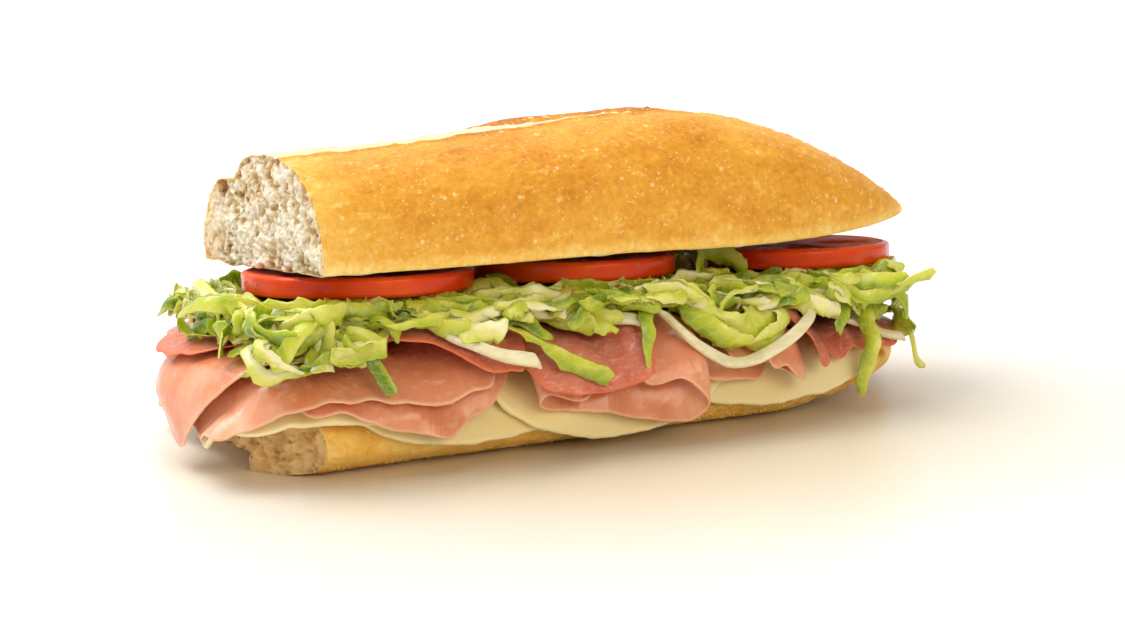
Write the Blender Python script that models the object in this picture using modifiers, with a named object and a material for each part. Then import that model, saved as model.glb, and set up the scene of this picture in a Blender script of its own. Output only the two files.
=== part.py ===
"""Half of a long submarine sandwich, cut across at its -X end.

+X runs along the loaf to its rounded heel, -Y is the side that shows the filling, +Z is up,
and the origin lies on the flat underside of the bottom bread. All sizes are in metres.
The filling lies in layers. Each layer is drawn flat, as (x, v), where v is the distance across
the loaf, and is then draped over the bottom bread: past the shoulders it bends down.
"""

import math

import bmesh
import bpy
import numpy as np
from mathutils import Vector, noise

# Bottom bread
BASE_TOP = 0.0170
BASE_HALF_WIDTH = 0.0357
BASE_WAIST = 0.0070
BASE_FOOT_HALF_WIDTH = 0.0220
BASE_TOP_HALF_WIDTH = 0.0240
BASE_HEEL_START = 0.030
BASE_HEEL_END = 0.085
BASE_LIFT_START = 0.036
BASE_HEEL_LIFT = 0.0060
BASE_LIFT_POWER = 0.8
BASE_TAPER_POWER = 2.8
BASE_WAIST_DROP = 0.35
BASE_HEEL_DROP = 0.0030
BASE_HEEL_DROP_START = 0.045
BASE_CUT_BRIDGE = 0.006
BASE_CORNER_POINTS = 7
BASE_FLAT_POINTS = 4
BASE_STATIONS = 15
BASE_CROWDING = 1.1
# The bite out of the foot at the cut: its size, where it lies and how it is turned
NOTCH_HEIGHT = 0.0050
NOTCH_WIDTH = 0.052
NOTCH_DEPTH = 0.010
NOTCH_X = -0.1115
NOTCH_FRONT_Y = -0.014
NOTCH_TURN = (math.radians(4.0), math.radians(9.0), math.radians(5.0))
# The cut face of the bottom bread, as (y, x): it turns back at its front corner.
BASE_CUT = ((-0.040, -0.0955), (-0.030, -0.0985), (-0.024, -0.1030), (-0.018, -0.1072),
            (-0.008, -0.1095), (0.010, -0.1112), (0.025, -0.1112), (0.040, -0.1095))

# Top bread
CROWN_HALF_WIDTH = 0.0358
CROWN_MIDDLE_Y = 0.0018
# Height of its crest above its underside, before the heel's taper, as (x, height)
CROWN_HEIGHT = ((-0.096, 0.0278), (-0.050, 0.0300), (-0.010, 0.0328), (0.020, 0.0342), (0.095, 0.0342))
CROWN_CUT_X = -0.0955
CROWN_TIP_X = 0.0915
CROWN_TAPER_START = 0.010
CROWN_ROLL = math.radians(6.0)
# Height of the middle of its underside, as (x, z)
CROWN_UNDERSIDE = ((-0.096, 0.0464), (-0.048, 0.0450), (-0.010, 0.0442), (0.030, 0.0426),
                   (0.060, 0.0430), (0.095, 0.0455))
# How much lower the back of the crest is than its front, as (x, share)
CROWN_BACK_DROP = ((-0.095, 0.12), (-0.02, 0.02), (0.03, 0.02), (0.09, 0.12))
CROWN_BACK_START, CROWN_BACK_END = -0.20, 0.85
CROWN_TAPER_POWER = 0.93
CROWN_WIDTH_POWER = 2.0 / 2.9
CROWN_HEIGHT_POWER = 2.0 / 2.3
CROWN_BULGE = 0.0005
CROWN_WAVES = (0.030, 0.0010)
CROWN_UNDER_WAVES = (0.012, 0.0005)
CROWN_UNDER_REACH = 0.985
CROWN_SECTION_POINTS = 40
CROWN_STATIONS = 20
CROWN_CROWDING = 1.15
SCORE_START_Y = 0.016
SCORE_END_Y = -0.004
SCORE_END_X = 0.058
SCORE_HALF_WIDTH = 0.0060
SCORE_DEPTH = 0.0042
SCORE_FADE = 0.045
SCORE_FULL_HEIGHT = 0.012
CUT_RINGS = 4
CRUMB_LUMP = 0.007
CRUMB_RELIEF = 0.0011
BREAD_TIP = 0.0004

# Drape of the filling: over the shoulders along the loaf, and over the cut end
DRAPE_TOP = 0.0175
SHOULDER = 0.0240
SHOULDER_RADIUS = 0.0120
SHOULDER_TURN = math.radians(60.0)
END_RADIUS = 0.0050
END_TURN = math.radians(68.0)
END_X = -0.1111
END_SKEW = -0.183
END_EASE = 0.65
END_EASE_SPAN = (-0.014, 0.004)
LEAST_ARM = 0.001
STRAIGHT_FROM = END_X + 0.004
LAYER_GAP = 0.0004
TOUCH_GAP = 0.0004
END_GAP = 0.0004
# How far out across the loaf a fold opens to its full height
FOLD_OPENS = (0.018, 0.036)
# Where along and across a rippled edge its ripples fade in
FRILL_FADE = 0.008
FRILL_GROWS = (0.022, 0.036)
CUT_MERGE = 1e-4

# Slices
CHEESE_THICKNESS = 0.0018
HAM_THICKNESS = 0.0015
CURED_THICKNESS = 0.0014
ONION_HEIGHT = 0.0023
ONION_WIDTH = 0.0019

# Tomato slices: centre x, centre y, diameter
TOMATOES = ((-0.0708, -0.0010, 0.0585), (-0.0105, -0.0020, 0.0545), (0.0560, -0.0020, 0.0550))
TOMATO_THICKNESS = 0.0052
TOMATO_ROLL = math.radians(6.0)
TOMATO_RIM = 0.0016
# Height of the middle of the tomatoes' underside, as (x, z)
TOMATO_UNDERSIDE = ((-0.100, 0.0398), (-0.071, 0.0388), (-0.010, 0.0368), (0.056, 0.0338),
                    (0.090, 0.0330))

# Lettuce
CORE_FRONT = -0.0300
CORE_BACK = 0.0290
CORE_START = -0.1080
CORE_END = 0.0690
CORE_STEP = 0.0062
CORE_SLUMP = 0.0050
CORE_ROOM = 0.0012
CORE_THICKNESS = 0.0035
CORE_CLEARANCE = 0.0006
CORE_LEAST = 0.0010
CORE_LUMPS = (0.010, 0.0016)
RIBBON_THICKNESS = 0.0012
RIBBON_CUP = 0.0006
RIBBON_TILT = 0.4
RIBBON_TWIST = 0.9
RIBBON_LEAN = (0.25, 0.35)
REAR_RIBBONS_FROM = 0.015
LETTUCE_SEED = 7


def clear_scene():
    for old in list(bpy.data.objects):
        bpy.data.objects.remove(old, do_unlink=True)


def collection(name, helpers=False):
    made = bpy.data.collections.new(name)
    bpy.context.scene.collection.children.link(made)
    made.hide_render = helpers
    return made


def material(name, colour, roughness):
    made = bpy.data.materials.new(name)
    made.use_nodes = True
    shader = made.node_tree.nodes["Principled BSDF"]
    shader.inputs["Base Color"].default_value = (*colour, 1.0)
    shader.inputs["Roughness"].default_value = roughness
    shader.inputs["Metallic"].default_value = 0.0
    return made


def ramp(value, start, end):
    """0 before start, 1 after end, with a smooth rise between."""
    t = np.clip((np.asarray(value, float) - start) / (end - start), 0.0, 1.0)
    return t * t * (3.0 - 2.0 * t)


def through(value, table):
    """A smooth curve through the (place, height) pairs of a table."""
    places, heights = np.array(table).T
    value = np.clip(np.asarray(value, float), places[0], places[-1])
    slopes = np.gradient(heights, places)
    i = np.clip(np.searchsorted(places, value, side="right") - 1, 0, len(places) - 2)
    width = places[i + 1] - places[i]
    t = (value - places[i]) / width
    return ((2 * t**3 - 3 * t**2 + 1) * heights[i] + (t**3 - 2 * t**2 + t) * width * slopes[i]
            + (3 * t**2 - 2 * t**3) * heights[i + 1] + (t**3 - t**2) * width * slopes[i + 1])


def rounded_loop(corners, count):
    """count points, evenly spaced, on a closed smooth curve through the corners."""
    corners = np.array(corners, float)
    steps = np.linspace(0.0, 1.0, 12, endpoint=False)[:, None]
    dense = []
    for i in range(len(corners)):
        before, a, b, after = (corners[(i + k) % len(corners)] for k in (-1, 0, 1, 2))
        dense.append(0.5 * (2 * a + (b - before) * steps
                            + (2 * before - 5 * a + 4 * b - after) * steps**2
                            + (3 * a - before - 3 * b + after) * steps**3))
    return evenly(np.vstack(dense + [dense[0][:1]]), count + 1)[:-1]


def rounded_path(corners, count):
    """count points, evenly spaced, on an open smooth curve through the corners."""
    corners = np.array(corners, float)
    padded = np.vstack([2 * corners[0] - corners[1], corners, 2 * corners[-1] - corners[-2]])
    steps = np.linspace(0.0, 1.0, 12, endpoint=False)[:, None]
    dense = []
    for i in range(len(corners) - 1):
        before, a, b, after = padded[i:i + 4]
        dense.append(0.5 * (2 * a + (b - before) * steps
                            + (2 * before - 5 * a + 4 * b - after) * steps**2
                            + (3 * a - before - 3 * b + after) * steps**3))
    return evenly(np.vstack(dense + [corners[-1:]]), count)


def evenly(points, count):
    lengths = np.r_[0.0, np.cumsum(np.linalg.norm(np.diff(points, axis=0), axis=1))]
    wanted = np.linspace(0.0, lengths[-1], count)
    return np.stack([np.interp(wanted, lengths, points[:, k]) for k in range(points.shape[1])], 1)


def add_mesh(name, bm, home, look):
    mesh = bpy.data.meshes.new(name)
    bm.to_mesh(mesh)
    bm.free()
    made = bpy.data.objects.new(name, mesh)
    home.objects.link(made)
    mesh.materials.append(look)
    mesh.shade_smooth()
    mesh.set_sharp_from_angle(angle=math.radians(40.0))
    return made


def relief(x, y, z, scale, depth):
    return depth * noise.noise(Vector((x, y, z)) / scale)


def loft(name, sections, start_relief, home, look):
    """A bread: a closed loft between unlike sections.

    The first section is closed by rings with the relief of torn crumb, the last by a fan.
    """
    bm = bmesh.new()
    rings = [[bm.verts.new(p) for p in section] for section in sections]
    count = len(rings[0])
    for a, b in zip(rings, rings[1:]):
        for i in range(count):
            j = (i + 1) % count
            bm.faces.new((a[i], a[j], b[j], b[i]))
    outer = rings[0]
    middle = np.mean(sections[0], axis=0)
    for k in range(1, CUT_RINGS):
        share = 1.0 - k / CUT_RINGS
        inner = []
        for p in sections[0]:
            q = middle + (np.array(p) - middle) * share
            q[0] = start_relief(q[1], q[2])
            inner.append(bm.verts.new(q))
        for i in range(count):
            j = (i + 1) % count
            bm.faces.new((outer[j], outer[i], inner[i], inner[j]))
        outer = inner
    centre = bm.verts.new((start_relief(middle[1], middle[2]), middle[1], middle[2]))
    for i in range(count):
        bm.faces.new((outer[(i + 1) % count], outer[i], centre))
    tip = bm.verts.new(np.mean(sections[-1], axis=0))
    last = rings[-1]
    for i in range(count):
        bm.faces.new((last[i], last[(i + 1) % count], tip))
    bmesh.ops.recalc_face_normals(bm, faces=bm.faces)
    return add_mesh(name, bm, home, look)


def crown_section(x):
    """One section of the top bread, with its score line and rounded lobes, rolled backwards."""
    t = np.clip((x - CROWN_TAPER_START) / (CROWN_TIP_X - CROWN_TAPER_START), 0.0, 1.0)
    half = CROWN_HALF_WIDTH * math.sqrt(1.0 - t**2)
    height = float(through(x, CROWN_HEIGHT)) * (1.0 - t**2) ** CROWN_TAPER_POWER
    points = []
    under = CROWN_SECTION_POINTS // 4
    for i in range(under):
        y = half * (1.0 - 2.0 * i / under) * CROWN_UNDER_REACH
        bulge = -CROWN_BULGE * (1.0 - (y / half) ** 2)
        points.append((y, bulge + relief(x, y, 0.0, *CROWN_UNDER_WAVES)))
    over = CROWN_SECTION_POINTS - under
    score_y = np.interp(x, (CROWN_CUT_X, SCORE_END_X), (SCORE_START_Y, SCORE_END_Y))
    depth = SCORE_DEPTH * float(1.0 - ramp(x, SCORE_END_X - SCORE_FADE, SCORE_END_X))
    back_drop = float(np.interp(x, *np.array(CROWN_BACK_DROP).T))
    for i in range(over):
        angle = math.pi * i / (over - 1)
        c, s = math.cos(angle), math.sin(angle)
        y = -half * math.copysign(abs(c) ** CROWN_WIDTH_POWER, c)
        z = height * max(s, 0.0) ** CROWN_HEIGHT_POWER
        z *= 1.0 - back_drop * float(ramp(y / half, CROWN_BACK_START, CROWN_BACK_END))
        trench = math.exp(-(((y - score_y) / SCORE_HALF_WIDTH) ** 2))
        z -= depth * trench * min(1.0, z / SCORE_FULL_HEIGHT)
        z += relief(x, y, z, *CROWN_WAVES) * s
        points.append((y, z))
    middle = float(through(x, CROWN_UNDERSIDE))
    cos, sin = math.cos(CROWN_ROLL), math.sin(CROWN_ROLL)
    shift = CROWN_MIDDLE_Y * math.sqrt(1.0 - t**2)
    return [(x, shift + y * cos + z * sin, middle - y * sin + z * cos) for y, z in points]


def crumb(layer, y, z):
    """The relief of torn crumb at a cut: two sizes of lumps."""
    large = relief(layer, y, z, CRUMB_LUMP, CRUMB_RELIEF)
    return large + relief(layer + 3.0, y, z, 0.5 * CRUMB_LUMP, 0.5 * CRUMB_RELIEF)


def crown_face(y, z):
    return CROWN_CUT_X + crumb(0.0, y, z)


def make_crown(home, look):
    spread = np.sin(np.linspace(0.0, 0.5 * math.pi, CROWN_STATIONS)) ** CROWN_CROWDING
    tip = CROWN_TIP_X - BREAD_TIP
    sections = [crown_section(x) for x in CROWN_CUT_X + (tip - CROWN_CUT_X) * spread]
    return loft("bread_top", sections, crown_face, home, look)


def base_cut_x(y):
    return float(through(y, BASE_CUT))


def base_section(x, first=False):
    """One section of the bottom bread: flat foot, rounded sides, flat top."""
    t = np.clip((x - BASE_HEEL_START) / (BASE_HEEL_END - BASE_HEEL_START), 0.0, 1.0)
    taper = math.sqrt(1.0 - t**BASE_TAPER_POWER)
    lift = BASE_HEEL_LIFT * float(ramp(x, BASE_LIFT_START, BASE_HEEL_END)) ** BASE_LIFT_POWER
    top = BASE_TOP - BASE_HEEL_DROP * float(ramp(x, BASE_HEEL_DROP_START, BASE_HEEL_END))
    half = BASE_HALF_WIDTH * taper
    foot = BASE_FOOT_HALF_WIDTH * taper
    flat = BASE_TOP_HALF_WIDTH * taper
    waist = lift + BASE_WAIST * (1.0 - BASE_WAIST_DROP * t)

    def level(from_y, z):
        return [(from_y * (1.0 - 2.0 * i / BASE_FLAT_POINTS), z) for i in range(BASE_FLAT_POINTS)]

    def corner(y, reach_z, start):
        turns = [start - 0.5 * math.pi * i / BASE_CORNER_POINTS for i in range(BASE_CORNER_POINTS)]
        reach_y = half - abs(y)
        return [(y + reach_y * math.cos(a), waist + reach_z * math.sin(a)) for a in turns]

    points = level(foot, lift) + corner(-foot, waist - lift, -0.5 * math.pi)
    points += corner(-flat, top - waist, math.pi) + level(-flat, top)
    points += corner(flat, top - waist, 0.5 * math.pi) + corner(foot, waist - lift, 0.0)
    return [(base_cut_x(y) if first else x, y, z) for y, z in points]


def base_face(y, z):
    return base_cut_x(y) + crumb(7.0, y, z)


def make_base(home, cutters, look):
    spread = np.sin(np.linspace(0.0, 0.5 * math.pi, BASE_STATIONS)) ** BASE_CROWDING
    start = BASE_CUT[0][1] + BASE_CUT_BRIDGE
    tip = BASE_HEEL_END - BREAD_TIP
    sections = [base_section(start, first=True)]
    sections += [base_section(x) for x in start + (tip - start) * spread]
    base = loft("bread_bottom", sections, base_face, home, look)
    bpy.ops.mesh.primitive_cube_add(size=1.0)
    notch = bpy.context.object
    notch.name = "notch_cutter"
    notch.dimensions = (2.0 * NOTCH_DEPTH, NOTCH_WIDTH, 2.0 * NOTCH_HEIGHT)
    notch.location = (NOTCH_X, NOTCH_FRONT_Y + 0.5 * NOTCH_WIDTH, 0.0)
    notch.rotation_euler = NOTCH_TURN
    notch.hide_render = True
    notch.display_type = "WIRE"
    for old in list(notch.users_collection):
        old.objects.unlink(notch)
    cutters.objects.link(notch)
    bite = base.modifiers.new("notch", "BOOLEAN")
    bite.operation = "DIFFERENCE"
    bite.object = notch
    return base


def drape(x, v, n):
    """The place in space of flat (x, v, n), where n is the height above the bread."""
    x, v, n = (np.asarray(a, float) for a in np.broadcast_arrays(x, v, n))
    side = np.where(v < 0.0, -1.0, 1.0)
    past = np.abs(v) - SHOULDER
    turn = np.clip(past / SHOULDER_RADIUS, 0.0, SHOULDER_TURN)
    over = np.maximum(past - SHOULDER_RADIUS * SHOULDER_TURN, 0.0)
    reach = SHOULDER_RADIUS + n
    y = np.minimum(np.abs(v), SHOULDER) + reach * np.sin(turn) + over * math.cos(SHOULDER_TURN)
    y = side * y
    z = DRAPE_TOP - SHOULDER_RADIUS + reach * np.cos(turn) - over * math.sin(SHOULDER_TURN)
    edge = END_X + END_SKEW * y
    out = np.maximum(edge - x, 0.0)
    fade = 1.0 - END_EASE * ramp(past, *END_EASE_SPAN)
    bend = np.minimum(out / END_RADIUS, END_TURN * fade)
    free = np.maximum(out - END_RADIUS * END_TURN * fade, 0.0)
    arm = np.maximum(END_RADIUS + z - DRAPE_TOP, LEAST_ARM)
    sunk = np.minimum(END_RADIUS + z - DRAPE_TOP - LEAST_ARM, 0.0)
    bent_x = edge - arm * np.sin(bend) - free * np.cos(bend)
    bent_z = DRAPE_TOP - END_RADIUS + arm * np.cos(bend) - free * np.sin(bend) + sunk
    past_edge = out > 0.0
    return np.stack([np.where(past_edge, bent_x, x), y, np.where(past_edge, bent_z, z)], -1)


def undrape(point):
    """(x, v, n) of a point in space, where the end of the bread doesn't bend the layers."""
    x, y, z = point
    dy, dz = abs(y) - SHOULDER, z - (DRAPE_TOP - SHOULDER_RADIUS)
    if dy <= 0.0:
        return x, y, z - DRAPE_TOP
    angle = math.atan2(dy, dz)
    if angle <= SHOULDER_TURN:
        past, n = SHOULDER_RADIUS * angle, math.hypot(dy, dz) - SHOULDER_RADIUS
    else:
        n = dy * math.sin(SHOULDER_TURN) + dz * math.cos(SHOULDER_TURN) - SHOULDER_RADIUS
        past = (SHOULDER_RADIUS * SHOULDER_TURN + dy * math.cos(SHOULDER_TURN)
                - dz * math.sin(SHOULDER_TURN))
    return x, math.copysign(SHOULDER + past, y), n


# Shares of a triangle's corners at spots spread evenly over it
SPOTS = np.array([(i, j, 10 - i - j) for i in range(11) for j in range(11 - i)]) / 10.0


class Pile:
    """How high the layers reach above the bread, on a grid over (x, v)."""

    STEP = 0.002
    X0, X1 = -0.145, 0.100
    V0, V1 = -0.062, 0.062
    REACH = 2

    def __init__(self):
        shape = (round((self.X1 - self.X0) / self.STEP), round((self.V1 - self.V0) / self.STEP))
        self.height = np.zeros(shape)
        self.crest = np.zeros(shape)
        self.soft = np.zeros(shape)

    def around(self, field):
        padded = np.pad(field, self.REACH, mode="edge")
        span = 2 * self.REACH + 1
        rows, columns = field.shape
        return np.array([padded[i:i + rows, j:j + columns]
                         for i in range(span) for j in range(span)])

    def cell(self, x, v):
        i = np.round((x - self.X0) / self.STEP).astype(int)
        j = np.round((v - self.V0) / self.STEP).astype(int)
        return (np.clip(i, 0, self.height.shape[0] - 1), np.clip(j, 0, self.height.shape[1] - 1))

    def cover(self, x, v, top):
        """Raises the pile to the given heights, then works out what a soft layer rests on."""
        np.maximum.at(self.height, self.cell(x, v), top)
        self.crest = self.around(self.height).max(axis=0)
        self.soft = self.around(self.crest).mean(axis=0)

    def rise(self, x, v, n, corners, gap):
        """How far each point of a triangle mesh has to rise for the whole mesh to clear the pile."""
        found = np.zeros(len(n))
        spots_x, spots_v, spots_n = (SPOTS @ values[corners].T for values in (x, v, n))
        gap = gap + END_GAP * (spots_x < END_COLUMNS[-1])
        short = (self.height[self.cell(spots_x, spots_v)] + gap - spots_n).max(axis=0)
        np.maximum.at(found, corners, np.maximum(short, 0.0)[:, None])
        return found

    def under(self, x, v):
        fx = np.clip((np.asarray(x) - self.X0) / self.STEP, 0, self.height.shape[0] - 1.001)
        fv = np.clip((np.asarray(v) - self.V0) / self.STEP, 0, self.height.shape[1] - 1.001)
        i, j = fx.astype(int), fv.astype(int)
        a, b = fx - i, fv - j
        s = self.soft
        return ((1 - a) * (1 - b) * s[i, j] + a * (1 - b) * s[i + 1, j]
                + (1 - a) * b * s[i, j + 1] + a * b * s[i + 1, j + 1])


# A flat outline is cut along these lines, so that all layers bend at the same places.
ROWS = (-0.044, -0.040, -0.0365, -0.033, -0.030, -0.027, -0.024, -0.016, 0.0, 0.016,
        0.024, 0.028, 0.032, 0.0365)
END_COLUMNS = (-0.1215, -0.1185, -0.1155, -0.1130, -0.1105, -0.1080)


def cut_outline(outline, columns):
    bm = bmesh.new()
    bm.faces.new([bm.verts.new((x, v, 0.0)) for x, v in outline])
    for v in ROWS:
        everything = bm.verts[:] + bm.edges[:] + bm.faces[:]
        bmesh.ops.bisect_plane(bm, geom=everything, dist=CUT_MERGE, plane_co=(0, v, 0),
                               plane_no=(0, 1, 0))
    for x in [x for x in columns if x > END_COLUMNS[-1] + 0.002] + list(END_COLUMNS):
        everything = bm.verts[:] + bm.edges[:] + bm.faces[:]
        bmesh.ops.bisect_plane(bm, geom=everything, dist=CUT_MERGE, plane_co=(x, 0, 0),
                               plane_no=(1, 0, 0))
    bmesh.ops.triangulate(bm, faces=bm.faces[:])
    bm.verts.ensure_lookup_table()
    return bm


def level_path(x):
    """A slice that isn't folded: x stays x, and its height above the pile is 0."""
    flat = np.zeros_like(x)
    return x, flat, flat, np.ones_like(x)


def folded_path(corners):
    """A slice folded along lines across the loaf: its (x, height) section, by distance along it."""
    points = rounded_path(corners, 120)
    lengths = np.r_[0.0, np.cumsum(np.linalg.norm(np.diff(points, axis=0), axis=1))]
    slope = np.gradient(points, lengths, axis=0)
    slope /= np.linalg.norm(slope, axis=1)[:, None]

    def place(u):
        x, n, dx, dn = (np.interp(u, lengths, column)
                        for column in (*points.T, *slope.T))
        return x, n, -dn, dx

    return place, lengths[-1]


def add_slice(name, outline, thickness, pile, home, look, lift=None, path=level_path,
              shut=1.0, column=0.012, count=28):
    """A thin slice with the given flat outline, laid on the pile and added to it.

    Away from the front a folded slice keeps only the share shut of its height.
    """
    edge = rounded_loop(outline, count)
    u0, u1 = edge[:, 0].min(), edge[:, 0].max()
    bm = cut_outline(edge, np.arange(u0 + column, u1 - 0.3 * column, column))
    lift = lift or (lambda x, v: 0.0 * x)

    def settle(u, v, offset):
        x, n, away_x, away_n = path(u)
        if path is not level_path:
            n = n * (shut + (1.0 - shut) * ramp(-v, *FOLD_OPENS))
        base = pile.under(x, v) + LAYER_GAP + 0.5 * thickness + lift(x, v)
        return x + away_x * offset, base + n + away_n * offset

    flat = np.array([vert.co for vert in bm.verts])
    half = 0.5 * thickness
    low_x, low_n = settle(flat[:, 0], flat[:, 1], -half)
    top_x, top_n = settle(flat[:, 0], flat[:, 1], half)
    rim = [(e.verts[0].index, e.verts[1].index) for e in bm.edges if e.is_boundary]
    triangles = [tuple(vert.index for vert in face.verts) for face in bm.faces]
    bm.free()
    corners = np.array(triangles)
    rise = np.maximum(pile.rise(low_x, flat[:, 1], low_n, corners, TOUCH_GAP),
                      pile.rise(top_x, flat[:, 1], top_n, corners, TOUCH_GAP))
    low_n, top_n = low_n + rise, top_n + rise
    for x, n in ((low_x, low_n), (top_x, top_n)):
        pile.cover(*(SPOTS @ values[corners].T for values in (x, flat[:, 1], n)))
    solid = bmesh.new()
    low = [solid.verts.new(p) for p in drape(low_x, flat[:, 1], low_n)]
    top = [solid.verts.new(p) for p in drape(top_x, flat[:, 1], top_n)]
    for a, b, c in triangles:
        solid.faces.new((top[a], top[b], top[c]))
        solid.faces.new((low[c], low[b], low[a]))
    for a, b in rim:
        solid.faces.new((low[a], low[b], top[b], top[a]))
    bmesh.ops.recalc_face_normals(solid, faces=solid.faces)
    return add_mesh(name, solid, home, look)


def oval(centre_x, centre_v, reach_x, reach_v, count=16, squareness=2.5):
    """Corners of a slice that is nearly round."""
    corners = []
    for i in range(count):
        c, s = math.cos(2 * math.pi * i / count), math.sin(2 * math.pi * i / count)
        corners.append((centre_x + reach_x * math.copysign(abs(c) ** (2 / squareness), c),
                        centre_v + reach_v * math.copysign(abs(s) ** (2 / squareness), s)))
    return corners


def bump(x0, v0, reach_x, reach_v, height):
    """A local lift of a slice."""
    return lambda x, v: height * np.exp(-((x - x0) / reach_x) ** 2 - ((v - v0) / reach_v) ** 2)


def frill(start, end, wave, height):
    """Ripples along the front edge of a slice."""
    def lift(x, v):
        along = ramp(x, start, start + FRILL_FADE) * (1.0 - ramp(x, end - FRILL_FADE, end))
        ripple = 0.5 + 0.5 * np.sin(2.0 * math.pi * (x - start) / wave)
        return height * along * ramp(-v, *FRILL_GROWS) * ripple
    return lift


# The left cheese hangs over the cut end.
CHEESE_1 = ((-0.124, -0.014), (-0.121, -0.026), (-0.112, -0.033), (-0.100, -0.035),
            (-0.080, -0.037), (-0.062, -0.034), (-0.050, -0.020), (-0.048, 0.006),
            (-0.058, 0.030), (-0.080, 0.038), (-0.100, 0.032), (-0.110, 0.016), (-0.118, 0.000))
CHEESES = (("cheese_4", oval(0.030, -0.003, 0.044, 0.041)),
           ("cheese_2", oval(-0.056, -0.003, 0.043, 0.041)),
           ("cheese_1", CHEESE_1),
           ("cheese_3", oval(-0.018, -0.004, 0.042, 0.043)))

HAM_C = ((-0.102, -0.034), (-0.093, -0.035), (-0.082, -0.039), (-0.073, -0.042),
         (-0.0675, -0.0435), (-0.062, -0.040), (-0.055, -0.037), (-0.047, -0.031),
         (-0.043, -0.014), (-0.048, 0.020), (-0.070, 0.038), (-0.096, 0.034),
         (-0.108, 0.006), (-0.107, -0.022))
HAM_B = ((-0.124, -0.027), (-0.118, -0.031), (-0.109, -0.033), (-0.104, -0.034),
         (-0.090, -0.034), (-0.072, -0.036), (-0.061, -0.035), (-0.053, -0.033),
         (-0.049, -0.018), (-0.054, 0.006), (-0.072, 0.014), (-0.094, 0.015),
         (-0.108, 0.012), (-0.114, 0.004), (-0.121, -0.010))
HAM_A = ((-0.126, -0.001), (-0.126, -0.008), (-0.121, -0.013), (-0.116, -0.022),
         (-0.110, -0.025), (-0.099, -0.026), (-0.083, -0.022), (-0.070, -0.020),
         (-0.056, -0.015), (-0.054, 0.006), (-0.062, 0.030), (-0.082, 0.040),
         (-0.102, 0.036), (-0.112, 0.022), (-0.117, 0.008))
CURED_LEFT = ((-0.115, 0.004), (-0.108, -0.014), (-0.096, -0.026), (-0.080, -0.028),
              (-0.068, -0.030), (-0.059, -0.033), (-0.052, -0.034), (-0.047, -0.033),
              (-0.043, -0.020), (-0.045, 0.008), (-0.058, 0.033), (-0.082, 0.040),
              (-0.104, 0.034), (-0.114, 0.018))
CURED_MIDDLE = ((-0.047, -0.031), (-0.044, -0.036), (-0.038, -0.038), (-0.032, -0.039),
                (-0.026, -0.039), (-0.020, -0.038), (-0.014, -0.037), (-0.009, -0.030),
                (-0.006, -0.010), (-0.010, 0.022), (-0.028, 0.038), (-0.040, 0.030),
                (-0.044, 0.006), (-0.046, -0.016))
HAM_UNDER_ONION = ((0.002, -0.030), (0.008, -0.037), (0.018, -0.038), (0.025, -0.037),
                   (0.030, -0.030), (0.034, -0.014), (0.030, 0.016), (0.014, 0.036),
                   (-0.002, 0.030), (-0.003, -0.008))
CURED_RIGHT = ((0.032, -0.030), (0.036, -0.034), (0.042, -0.038), (0.046, -0.035),
               (0.050, -0.036), (0.055, -0.034), (0.064, -0.034), (0.071, -0.032),
               (0.074, -0.020), (0.072, 0.006), (0.058, 0.030), (0.042, 0.034),
               (0.034, 0.020), (0.030, -0.008))

# Where a slice is lifted, as (x, v, reach in x, reach in v, height)
HAM_C_LIFT = (-0.068, -0.044, 0.006, 0.005, 0.0022)
HAM_A_LIFT = (-0.108, -0.020, 0.020, 0.006, 0.0012)
CURED_LEFT_LIFT = (-0.072, -0.028, 0.020, 0.009, 0.0034)
# Ripples along a front edge, as (start, end, length of one ripple, height)
CURED_RIGHT_FRILL = (0.034, 0.062, 0.0085, 0.0022)

# The folded slice in the middle, as its (x, height) section and its outline by distance along it
FOLD_SECTION = ((-0.028, 0.0042), (-0.036, 0.0044), (-0.0410, 0.0036), (-0.0425, 0.0021),
                (-0.0410, 0.0005), (-0.036, 0.0), (-0.025, 0.0), (-0.012, 0.0003),
                (-0.006, 0.0006), (0.001, 0.0014), (0.0036, 0.0036), (0.0020, 0.0060),
                (-0.003, 0.0070), (-0.009, 0.0068), (-0.015, 0.0058))
FOLD_FRONT = ((0.0, -0.036), (0.012, -0.037), (0.018, -0.039), (0.030, -0.040),
              (0.045, -0.043), (0.058, -0.044), (0.066, -0.041), (0.074, -0.038),
              (0.084, -0.037))
FOLD_BACK_V = 0.014
FOLD_SHUT = 0.47
# The folded corner at the right
CORNER_SECTION = ((0.012, 0.0), (0.024, 0.0), (0.0335, 0.0004), (0.0362, 0.0020),
                  (0.0335, 0.0038), (0.028, 0.0042), (0.022, 0.0040))
CORNER_FRONT = ((0.0, -0.030), (0.010, -0.035), (0.018, -0.038), (0.024, -0.041),
                (0.029, -0.038), (0.035, -0.032))
CORNER_BACK_V = 0.030
CORNER_SHUT = 0.65

# Onion arcs, as the (x, v) of their outer edge from left to right
ONIONS = (("onion_1", ((-0.074, -0.024), (-0.066, -0.030), (-0.060, -0.032),
                       (-0.053, -0.034), (-0.045, -0.035))),
          ("onion_2", ((-0.037, -0.025), (-0.032, -0.029), (-0.022, -0.030),
                       (-0.014, -0.031), (-0.010, -0.032))),
          ("onion_3", ((-0.006, -0.030), (-0.001, -0.034), (0.006, -0.036), (0.014, -0.037),
                       (0.024, -0.036), (0.034, -0.034), (0.041, -0.031), (0.046, -0.024))),
          ("onion_4", ((0.044, -0.030), (0.050, -0.030), (0.059, -0.031), (0.065, -0.033),
                       (0.071, -0.034))))


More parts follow.
